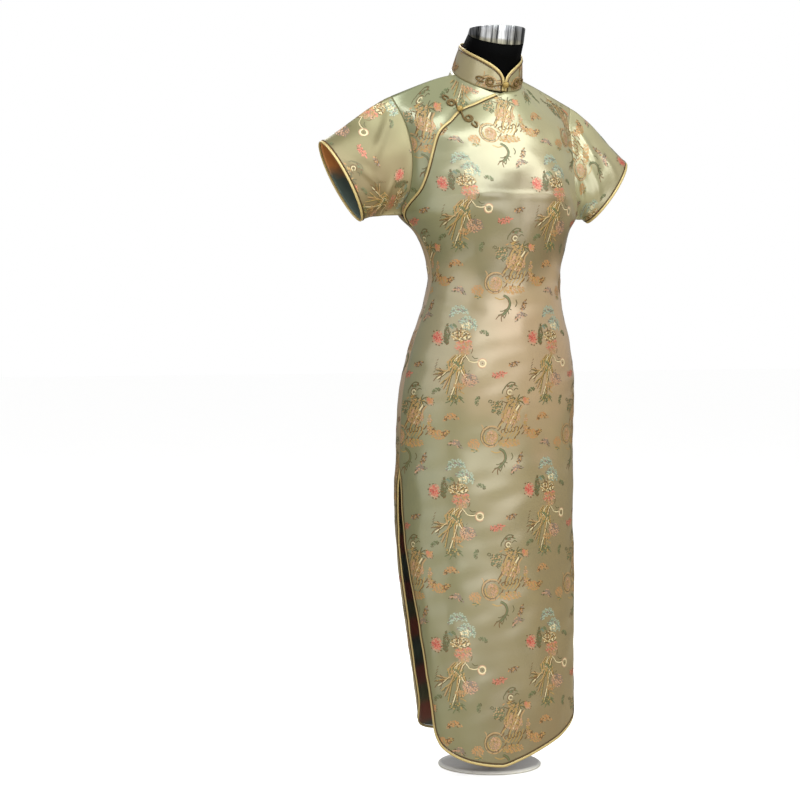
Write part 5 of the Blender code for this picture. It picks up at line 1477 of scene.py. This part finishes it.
def phoenix():
    """Phoenix with raised plumes, one eyed feather and a sheaf of tail feathers; about 110 by 160."""
    strokes = patches(
        (("pale_blue", "cream", "pale_blue"), 8, 52, 24, 13), (("teal", "green"), -20, 52, 14, 9),
        (("pink", "violet", "pink"), 14, -49, 32, 24, -15), (("orange", "tan"), -5, -60, 24, 12))
    # Plumes of the wings on both sides, dark and pale by turns.
    strokes += fan("bronze", 2.4, (-28, 18), ((-37, 34), (-34, 46), (-28, 58), (-23, 42), (-37, 25)), 0.12)
    strokes += hatched(("bronze", "brown", "green"), -31, 36, 11, 38, 0, 3.2)
    strokes += fan("brown", 2.2, (-4, 28), ((-18, 42), (-11, 49), (-2, 51), (7, 47), (13, 38)), 0.1)
    strokes += fan("cream", 1.7, (-4, 26), ((-20, 35), (-14, 44), (-5, 47), (4, 44), (11, 33)), 0.1)
    strokes += hatched(("gold", "cream", "brown", "bronze", "tan"), -4, 34, 38, 22, 0, 3.6)
    # Body and head.
    strokes += patches((("pink", "orange", "pink", "coral"), 0, 14, 32, 22), (("tan", "pink"), 2, 3, 20, 12))
    strokes += [("coral", 2.4, [(-12, 22), (-4, 19), (4, 24)]), ("coral", 2.4, [(5, 20), (10, 25), (18, 22)]),
                ("brown", 3.6, [(-16, 25), (-13, 26)]), ("brown", 1.4, [(14, 16), (19, 8), (16, 0)]),
                ("brown", 1.2, [(-11, 12), (-4, 8), (4, 10)])]
    # The one feather with an open eye.
    strokes += [("bronze", 1.2, [(2, 0), (9, -10), (18, -14), (28, -13)]),
                ("cream", 2.0, [(4, -2), (13, -13), (22, -16), (31, -15)]),
                ("cream", 2.8, spiral(38, -18, 6.6, 6.6, 150, 352, 17)),
                ("pink", 1.6, spiral(38, -18, 8.8, 8.8, 20, 300)),
                ("brown", 3.0, [(36.8, -18), (39.2, -18)]), ("bronze", 1.6, [(18, -4), (23, -9), (30, -8)])]
    strokes += hatched(("gold", "green", "tan"), -14, -24, 22, 36, 75, 5.0, 2.6)
    # Sheaf of drooping tail feathers, each a pale thread beside a dark one, with a barbed end.
    ends = ((-50, -28), (-52, -38), (-48, -48), (-42, -57), (-36, -67), (-29, -77), (-21, -84), (-12, -82),
            (-4, -73), (4, -62), (10, -49))
    for k, (x, y) in enumerate(ends):
        sway = (-4.5, 3.5, 6.0)[k % 3]
        path = [(-14 + 2.0 * k, -1), (-22 + 1.6 * k + sway, -16), (-28 + 3.0 * k - sway, -32), (x, y)]
        strokes.append((("tan", "gold", "cream", "gold")[k % 4], 2.0, path))
        strokes.append((("bronze", "brown", "bronze")[k % 3], 1.5, beside(path, 2.0)))
        for up in (3, 9, 15):
            strokes.append((("brown", "bronze", "green")[(k + up) % 3], 1.3,
                            [(x - 3.5 + 0.3 * up, y + up), (x + 0.3 * up, y + up + 3.5)]))
    for x, y, size, turn in ((4, -40, 5, 30), (15, -44, 4.5, 200), (23, -53, 5, 100), (10, -56, 4.5, 300)):
        strokes.append(("brown", 1.4, spiral(x, y, size, 1.2, turn, 400, 11)))
    strokes += fan("brown", 1.7, (-36, -38), ((-52, -30), (-56, -40), (-44, -26), (-42, -50), (-55, -52)),
                   -0.12)
    strokes += hatched(("bronze", "green", "gold"), -14, -85, 28, 14, 0, 3.6, 2.6)
    strokes += fan("green", 2.0, (-17, -81), ((-30, -93), (-20, -99), (-8, -97), (4, -85), (6, -93)), 0.15)
    return strokes + [("bronze", 4.5, [(-15, -84), (-12, -83)]), ("brown", 3.0, [(-6, -60), (1, -65)]),
                      ("gold", 1.8, [(-4, -70), (6, -76)])]


def flower(petal, heart, radius):
    """Open flower, taller than wide, with dark leaf tips round it."""
    strokes = hatched(("pink", petal), 0, 0, 1.9 * radius, 2.4 * radius, 0, 4.0)
    strokes += hatched((petal, heart, petal, heart), 0, 0, 1.35 * radius, 1.9 * radius, 20, 3.4)
    for k, a in enumerate(np.radians((80, 115, 50, 20, 160, 200, 245, 275, 310, 340))):
        x, y = 0.95 * radius * math.cos(a), 1.25 * radius * math.sin(a)
        x, y = x * (0.86 + 0.1 * (k % 2)), y * (0.9 + 0.08 * (k % 3))
        out = (x + (0.2 + 0.1 * (k % 3)) * radius * math.cos(a + 0.6), y + 0.24 * radius * math.sin(a))
        strokes.append((("bronze", "brown")[k % 2], (0.36 - 0.05 * (k % 3)) * radius, [(x, y), out]))
    for x, y, turn in ((-0.3, 0.3, 0), (0.35, 0.1, 120), (-0.05, -0.45, 240), (0.15, 0.75, 60)):
        strokes.append((heart, 0.12 * radius,
                        spiral(x * radius, y * radius, 0.3 * radius, 0.3 * radius, turn, 200, 6)))
    return strokes


def cloud(fill, other, line, reach):
    """Arched cloud with two curled feet."""
    r = reach / 2
    strokes = hatched((fill, fill, other, fill), 0, 0.16 * r, 1.5 * r, 0.85 * r, 0, 4.4)
    for side in (-1, 1):
        strokes += hatched((fill, line, other), side * 0.66 * r, -0.14 * r, 0.9 * r, 0.55 * r, -side * 30,
                           3.8)
        strokes.append((line, 0.07 * r,
                        spiral(side * 0.5 * r, -0.05 * r, 0.34 * r, 0.1 * r, 90, -side * 300, 9)))
    return strokes


def sprig(threads, reach):
    """A leafy twig."""
    strokes = hatched(threads, 0, 0, reach, 0.42 * reach, 8, 3.0)
    for x, y, a in ((-0.3, 0.02, 120), (-0.1, -0.06, 240), (0.1, 0.06, 70), (0.25, -0.03, 300),
                    (0.45, 0.05, 10)):
        a = math.radians(a)
        x, y = x * reach, y * reach
        ends = [(x, y), (x + 0.22 * reach * math.cos(a), y + 0.22 * reach * math.sin(a))]
        strokes.append((threads[0], 0.12 * reach, ends))
    return strokes


FIGURES = {
    "dragon": dragon(),
    "phoenix": phoenix(),
    "red flower": flower("coral", "red", 11),
    "small flower": flower("orange", "coral", 7),
    "red spray": sprig(("coral", "red", "brown", "coral"), 28),
    "orange cloud": cloud("orange", "tan", "brown", 28),
    "green cloud": cloud("green", "bronze", "bronze", 18),
    "violet cloud": cloud("violet", "pink", "bronze", 26),
    "gold cloud": cloud("orange", "gold", "brown", 40),
    "blue cloud": cloud("pale_blue", "violet", "teal", 36),
    "brown leaf": sprig(("brown", "violet", "orange"), 22),
}

# One repeat: figure, its middle across and up from the dragon's middle in metres, and its turn.
REPEAT_WIDTH = 0.19
REPEAT_HEIGHT = 0.29
REPEAT_ROWS = range(-3, 8)
REPEAT_COLUMNS = range(-4, 5)
TALL_REACH = 0.10  # how far a figure may stand past a cloth's edge and still touch it
WIDE_REACH = 0.08
REPEAT = {
    "figure": ("dragon", "phoenix", "red flower", "red spray", "orange cloud", "green cloud",
               "violet cloud", "gold cloud", "blue cloud", "brown leaf", "small flower", "green cloud",
               "brown leaf", "blue cloud", "green cloud", "violet cloud"),
    "across": (0.00, -0.09, 0.05, -0.02, 0.08, -0.05, 0.09, -0.13, -0.10, 0.01, -0.15, 0.05,
               0.03, -0.08, -0.06, 0.02),
    "up": (0.00, 0.12, 0.15, 0.08, 0.00, 0.16, -0.05, -0.03, -0.09, 0.10, 0.03, 0.05,
           -0.08, -0.11, 0.03, 0.19),
    "turn": (0, 0, 10, 5, 10, -20, -10, 170, 15, 10, 40, 30, 60, -20, 80, 30),
}
# Each piece's cut: the repeat's place on it, across and up.
CUTS = {"Front": (-0.02, 0.08), "Back": (0.03, -0.06), "Under_Front": (0.01, 0.06),
        "Right_Sleeve": (-0.02, -0.03),
        "Left_Sleeve": (0.02, 0.15), "Collar": (0.03, 0.04)}


SHORT_FLOAT = 8  # floats shorter than this, in millimetres, are plain narrow lozenges


def ribbon(points, width):
    """Flat ribbon that swells and narrows: rows of places across it, and their heights."""
    path = np.asarray(points, float)
    if len(path) > 2:
        path = spline(np.arange(len(path)), path, np.linspace(0, len(path) - 1, 6 * len(path)))
    length = lengths(path)
    if len(path) == 2 and length[-1] < SHORT_FLOAT:
        sideways = np.array((path[0, 1] - path[1, 1], path[1, 0] - path[0, 0])) / length[-1] * width / 2
        rows = path[0] + np.array((0, 0.5, 1))[:, None] * (path[1] - path[0])
        return rows[:, None] + np.array((0.3, 1, 0.3))[:, None,
                                                       None] * np.array((-sideways, sideways)), np.ones((3,
                                                                                                         2))
    count = max(int(length[-1] / 2.8) + 2, 4)
    share = (1 - np.cos(np.linspace(0, np.pi, count))) / 2
    path = np.stack([np.interp(share * length[-1], length, path[:, k]) for k in (0, 1)], -1)
    along = unit(np.gradient(path, axis=0))
    sideways = np.stack([-along[:, 1], along[:, 0]], -1)
    half = width / 2 * np.sqrt(np.clip(1 - np.abs(2 * share - 1) ** (2 + 10 * (length[-1] > 3 * width)),
                                       0.02, 1))
    across = np.linspace(-1, 1, 3 + 2 * (width > 5))
    places = path[:, None] + sideways[:, None] * (half[:, None] * across)[..., None]
    heights = np.broadcast_to(1 - np.abs(across) ** 3, places.shape[:2])
    return places, heights


RIBBONS = {name: [(THREAD_ORDER.index(thread), *ribbon(points, width)) for thread, width, points in strokes]
           for name, strokes in FIGURES.items()}
THREAD_RISE = 0.00016
THREAD_SINK = 0.00012


def figure_places(cloth, shift):
    """Every figure that reaches the cloth: its name, and a function from millimetres to the flat cloth."""
    for name, across, up, turn in zip(*REPEAT.values()):
        c, s = math.cos(math.radians(turn)), math.sin(math.radians(turn))
        spin = np.array(((c, s), (-s, c))) / 1000
        for row in REPEAT_ROWS:
            for column in REPEAT_COLUMNS:
                middle = np.array((shift[0] + across + column * REPEAT_WIDTH,
                                   shift[1] + up + row * REPEAT_HEIGHT))

                def to_flat(places, middle=middle, spin=spin):
                    return places @ spin + middle

                spot = to_flat(np.zeros((1, 2)))[0]
                if -TALL_REACH < spot[1] - cloth.heights[0] and spot[1] - cloth.heights[-1] < TALL_REACH:
                    if cloth.left.min() - WIDE_REACH < spot[0] < cloth.right.max() + WIDE_REACH:
                        yield name, to_flat


def weave_figures(name, cloth, piece, edge=0.0015):
    """All the woven figures of one piece of cloth as a single low relief on it."""
    tree = surface_tree(piece)
    flats, rises, faces, slots = [], [], [], []
    start = 0
    for figure, to_flat in figure_places(cloth, CUTS[name]):
        for order, (thread, places, heights) in enumerate(RIBBONS[figure]):
            rows, columns = places.shape[:2]
            flats.append(to_flat(places.reshape(-1, 2)))
            rises.append((heights * THREAD_RISE + min(order, 40) * 0.000003).reshape(-1))
            quads = grid_faces(rows, columns, start, False, True)
            faces.append(quads)
            slots.append(np.full(len(quads), thread))
            start += rows * columns
    flats, rises = np.concatenate(flats), np.concatenate(rises)
    faces, slots = np.concatenate(faces), np.concatenate(slots)
    points, normals, inside = cloth.lay(flats)
    kept = (inside[faces] > edge).all(1)
    faces, slots = faces[kept], slots[kept]
    used, faces = np.unique(faces, return_inverse=True)
    faces = faces.reshape(-1, 4)
    points, normals, rises = points[used], normals[used], rises[used]
    seated = np.empty_like(points)
    for i, (point, normal) in enumerate(zip(points, normals)):
        hit = tree.ray_cast(Vector(point + normal * 0.004), Vector(-normal), 0.009)
        seated[i] = point if hit[0] is None else hit[0]
    seated += normals * (rises - THREAD_SINK * (rises < 0.00002) + 0.00006)[:, None]
    worn = np.unique(slots)
    finishes = [THREAD_FINISHES[i] for i in worn]
    return add_piece(name + "_Figures", seated, faces.tolist(), finishes, name.lower() + "_brocade", [],
                     np.searchsorted(worn, slots))


CLOTHS = {
    "Front": (front_flat, front_cloth),
    "Back": (back_flat, back_cloth),
    "Under_Front": (under_flat, under_cloth),
    "Collar": (collar_flat, collar_cloth),
    "Right_Sleeve": (sleeve_flats[-1], sleeve_cloths[-1]),
    "Left_Sleeve": (sleeve_flats[1], sleeve_cloths[1]),
}
figures = {name: weave_figures(name, flat, cloth) for name, (flat, cloth) in CLOTHS.items()}


# ---------------------------------------------------------------- dress form and stand
def jersey():
    """Black knitted cover of the form."""
    f = Finish("Form Jersey", (4, 4, 5), 0.7, Specular_IOR_Level=0.03)
    knit = f.group(THREAD_TWIST, Place=f.place(), Scale=500.0, Depth=0.4)
    # The darker black is painted shade in the knit's grooves.
    f.feed("Base Color", mix_node(f.tree, knit.outputs["Shade"], linear((4, 4, 5)), linear((2, 2, 2))))
    f.bump(knit.outputs["Height"], 0.3, 0.0004)
    return f.material


def reflection_streaked_metal(name, light, dark, roughness, streak):
    """Polished metal with soft dark and light streaks of painted reflection that run up and down it."""
    f = Finish(name, light, roughness, 1.0)
    streaks = f.group(METAL_REFLECTION_STREAKS, Place=stretch(f.tree, f.place(), streak))
    # Base colour streaked by painted reflection.
    f.feed("Base Color", mix_node(f.tree, streaks.outputs["Shade"], linear(dark), linear(light)))
    f.feed("Roughness", math_node(f.tree, "MULTIPLY_ADD", streaks.outputs["Grain"], 0.15, roughness - 0.05))
    return f.material


def base_lacquer():
    f = Finish("Base Lacquer", (228, 227, 222), 0.32, Coat_Weight=0.4, Coat_Roughness=0.1)
    speck = noise_node(f.tree, f.place(), 60.0, 4.0)
    f.feed("Base Color", mix_node(f.tree, speck, linear((214, 212, 206)), linear((236, 235, 231))))
    f.bump(noise_node(f.tree, f.place(), 900.0, 1.0), 0.05, 0.0002)
    return f.material


def smoothed_form():
    """The padded form, its facets joined and rounded."""
    ball = bmesh.new()
    ball.from_mesh(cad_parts["Form_Body"].data)
    bmesh.ops.remove_doubles(ball, verts=ball.verts, dist=0.00002)
    bmesh.ops.join_triangles(ball, faces=ball.faces, angle_face_threshold=0.6, angle_shape_threshold=0.8)
    return add_piece("Form_Padding", *released(ball), (jersey(),), "form_jersey", ["Form_Body"])


NECK_TILT = math.radians(20)
NECK_END = {"centre": (0, -0.022, 1.4065), "radius": 0.0543}
CAP_TOP = 1.4245
CAP_RIM = 0.0035
CAP_SIDES = 96


def lidded(rings):
    """Points and faces of stacked rings with a lid at each end."""
    sides = len(rings[0])
    points = np.concatenate(rings)
    faces = grid_faces(len(rings), sides, 0, True, False).tolist()
    faces.append(list(range(sides))[::-1])
    faces.append(list(range(len(points) - sides, len(points))))
    return points, turned_out(points, faces)


def neck_cap():
    """Metal cap on the slanting cut of the neck, with a level top and rounded rims."""
    angle = np.linspace(0, 2 * np.pi, CAP_SIDES, endpoint=False)
    radius = NECK_END["radius"]
    _, middle_y, middle_z = NECK_END["centre"]
    flat = -radius * np.cos(angle)
    low = np.stack([radius * np.sin(angle), middle_y + flat * math.cos(NECK_TILT),
                    middle_z + flat * math.sin(NECK_TILT) + SEAM], -1)
    high_y = middle_y - 0.006
    high = np.stack([radius * np.sin(angle), high_y + flat * math.cos(NECK_TILT),
                     np.maximum(CAP_TOP, low[:, 2] + CAP_RIM)], -1)
    rings = [low.mean(0) + (low - low.mean(0)) * share for share in (0.3, 0.8, 0.985, 1.0)]
    rings[-1][:, 2] += 0.0006
    edge = high - np.array((0, 0, 0.0015))
    rings += [rings[-1] + (edge - rings[-1]) * share for share in (0.3, 0.7, 1.0)]
    crown = high.mean(0)
    for share, drop in ((0.995, 0.0006), (0.982, 0.0001), (0.95, 0.0), (0.5, 0.0), (0.15, 0.0)):
        rings.append(crown + (high - crown) * share - np.array((0, 0, drop)))
    # Dark and light streaks of painted reflection on the cap.
    finish = reflection_streaked_metal("Cap Metal", (206, 208, 212), (46, 48, 52), 0.3, (150.0, 40.0, 4.0))
    return add_piece("Neck_Cap_Metal", *lidded(rings), (finish,), "cap_metal", ["Neck_Cap"])


def turned_piece(name, profile, sides, finish, slot, node):
    """Turned solid from (radius, height) pairs, from the top of its axis to the bottom of it."""
    angle = np.linspace(0, 2 * np.pi, sides, endpoint=False)
    rings = [np.stack([r * np.cos(angle), r * np.sin(angle), np.full(sides, z)], -1) for r, z in profile]
    return add_piece(name, *lidded(rings), (finish,), slot, [node])


def rounded(corners, radius, steps=5):
    """A profile whose inner corners are rounded."""
    corners = np.asarray(corners, float)
    out = [corners[0]]
    for before, here, after in zip(corners[:-2], corners[1:-1], corners[2:]):
        r = min(radius, np.linalg.norm(before - here) * 0.45, np.linalg.norm(after - here) * 0.45)
        a, b = here + unit(before - here) * r, here + unit(after - here) * r
        out += [(1 - t) ** 2 * a + 2 * t * (1 - t) * here + t * t * b for t in np.linspace(0, 1, steps)]
    return out + [corners[-1]]


smoothed_form()
neck_cap()
pole_low, pole_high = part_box("Pole")
base_low, base_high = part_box("Base")
POLE_RADIUS = 0.0125
POLE_PROFILE = ((0.001, pole_high.z), (POLE_RADIUS, pole_high.z), (POLE_RADIUS, pole_low.z + 0.014),
                (pole_high.x, pole_low.z + 0.010), (pole_high.x, pole_low.z), (0.001, pole_low.z))
BASE_PROFILE = ((0.001, base_high.z), (base_high.x - 0.004, base_high.z), (base_high.x, base_high.z - 0.003),
                (base_high.x, 0.002), (base_high.x - 0.002, base_low.z), (0.001, base_low.z))
# Streaks of painted reflection on the pole too.
pole_metal = reflection_streaked_metal("Pole Metal", (214, 215, 218), (150, 151, 154), 0.24, (300.0, 300.0, 6.0))
turned_piece("Pole_Tube", rounded(POLE_PROFILE, 0.0012), 64, pole_metal, "pole_metal", "Pole")
turned_piece("Base_Disc", rounded(BASE_PROFILE, 0.002), 128, base_lacquer(), "base_lacquer", "Base")


# ---------------------------------------------------------------- flat sizes of the cut cloth, worked out and not kept
def face_area(grid, ring=False):
    """Area of the cloth's outer face."""
    if ring:
        grid = np.concatenate([grid, grid[:, :1]], 1)
    a, b, c, d = grid[:-1, :-1], grid[:-1, 1:], grid[1:, 1:], grid[1:, :-1]
    return float(np.linalg.norm(np.cross(c - a, d - b), axis=-1).sum() / 2)


def declare_cut(name, flat, grid, attached, ring=False):
    share = 0.999 * flat[0] * flat[1]
    min(face_area(grid, ring), share)
    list(attached)


declare_cut("Front", (0.545, 1.295), front_points, [front_binding, slant_binding])
declare_cut("Back", (0.570, 1.330), back_points, [back_binding])
declare_cut("Under_Front", (0.270, 0.275), under_points, frogs["Chest"])
declare_cut("Collar", (0.430, 0.056), collar["points"], [collar_binding, *frogs["Collar"]])
for side, name in ((-1, "Right_Sleeve"), (1, "Left_Sleeve")):
    declare_cut(name, (0.560, 0.200), sleeves[side]["points"], [cuff_bindings[side]], ring=True)

# ---------------------------------------------------------------- camera, light and floor
CAMERA_AZIMUTH = math.radians(-28)
CAMERA_DISTANCE = 4.1
ROOM_LIGHT = 0.36
SWEEP_LIGHT = 1.0
FLOOR_REFLECTED = (192, 183, 158)  # what the satin mirrors of the floor
CAMERA_HEIGHT = 0.859
FOCAL_PIXELS = 2114
IMAGE_PIXELS = 800
SENSOR = 36
FLOOR_REACH = 30.0
FLOOR_DROP = 0.0005  # how far the floor lies under the part's feet
FLOOR_GLOW = 0.74
AXIS_AT = (90, 76)  # pixels that the dress stands right of and below the picture's middle axis


def add_camera():
    lens = bpy.data.cameras.new("Camera")
    lens.sensor_width = SENSOR
    lens.lens = SENSOR * FOCAL_PIXELS / IMAGE_PIXELS
    camera = bpy.data.objects.new("Camera", lens)
    bpy.context.scene.collection.objects.link(camera)
    camera.location = (CAMERA_DISTANCE * math.sin(CAMERA_AZIMUTH),
                       -CAMERA_DISTANCE * math.cos(CAMERA_AZIMUTH), CAMERA_HEIGHT)
    ahead = Vector((-math.sin(CAMERA_AZIMUTH), math.cos(CAMERA_AZIMUTH), 0))
    right = Vector((math.cos(CAMERA_AZIMUTH), math.sin(CAMERA_AZIMUTH), 0))
    aim = ahead - right * (AXIS_AT[0] / FOCAL_PIXELS) - Vector((0, 0, 1)) * (AXIS_AT[1] / FOCAL_PIXELS)
    camera.rotation_euler = aim.to_track_quat("-Z", "Y").to_euler()
    bpy.context.scene.camera = camera


def add_softbox(name, azimuth, elevation, distance, size, power, aim=(0, 0, 0.9), colour=(1, 1, 1)):
    """Large soft area light, placed round the dress as a camera would be."""
    light = bpy.data.lights.new(name, "AREA")
    light.shape = "RECTANGLE"
    light.size, light.size_y = size
    light.energy = power
    light.color = colour
    lamp = bpy.data.objects.new(name, light)
    bpy.context.scene.collection.objects.link(lamp)
    a, e = math.radians(azimuth), math.radians(elevation)
    way = Vector((math.sin(a) * math.cos(e), -math.cos(a) * math.cos(e), math.sin(e)))
    lamp.location = Vector(aim) + way * distance
    lamp.rotation_euler = way.to_track_quat("Z", "Y").to_euler()


def add_floor():
    """Wide pale floor, faintly mottled."""
    f = Finish("Studio Floor", (210, 210, 209), 0.7, Emission_Color=(1, 1, 1, 1))
    tone = noise_node(f.tree, f.place(), 3.0, 3.0)
    seen = f.tree.nodes.new("ShaderNodeLightPath").outputs["Is Camera Ray"]
    pale = mix_node(f.tree, tone, linear((206, 206, 205)), linear((213, 213, 212)))
    f.feed("Base Color", mix_node(f.tree, seen, linear(FLOOR_REFLECTED), pale))
    f.feed("Emission Strength", math_node(f.tree, "MULTIPLY", seen, FLOOR_GLOW))
    mesh = bpy.data.meshes.new("Studio_Floor")
    corners = [(x * FLOOR_REACH, y * FLOOR_REACH, 0) for x, y in ((-1, -1), (1, -1), (1, 1), (-1, 1))]
    mesh.from_pydata(corners, [], [(0, 1, 2, 3)])
    mesh.materials.append(f.material)
    floor = bpy.data.objects.new("Studio_Floor", mesh)
    bpy.context.scene.collection.objects.link(floor)
    floor.location.z = -FLOOR_DROP


def add_surroundings():
    """Pale room: soft light from all round, and a white sweep behind."""
    world = bpy.data.worlds.new("Studio")
    world.use_nodes = True
    tree = world.node_tree
    tree.nodes["Background"].inputs["Color"].default_value = (1.0, 1.0, 1.0, 1)
    seen = tree.nodes.new("ShaderNodeLightPath").outputs["Is Camera Ray"]
    strength = math_node(tree, "MULTIPLY_ADD", seen, SWEEP_LIGHT - ROOM_LIGHT, ROOM_LIGHT)
    tree.links.new(strength, tree.nodes["Background"].inputs["Strength"])
    bpy.context.scene.world = world
    bpy.context.scene.view_settings.view_transform = "Standard"


add_camera()
add_softbox("Key Softbox", 4, 46, 3.0, (4.8, 1.6), 130, (0, 0, 1.15), (0.95, 1.0, 0.93))
add_softbox("Fill Softbox", 6, 14, 4.5, (4.4, 2.8), 100, (0, 0, 0.6))
add_softbox("Side Softbox", -62, 10, 3.6, (3.2, 2.4), 26, (0, 0, 0.5))
add_softbox("Bust Softbox", -72, 42, 3.0, (1.1, 0.9), 18, (0, 0, 1.2))
add_softbox("Back Softbox", 170, 45, 3.5, (2.0, 1.5), 60)
add_floor()
add_surroundings()
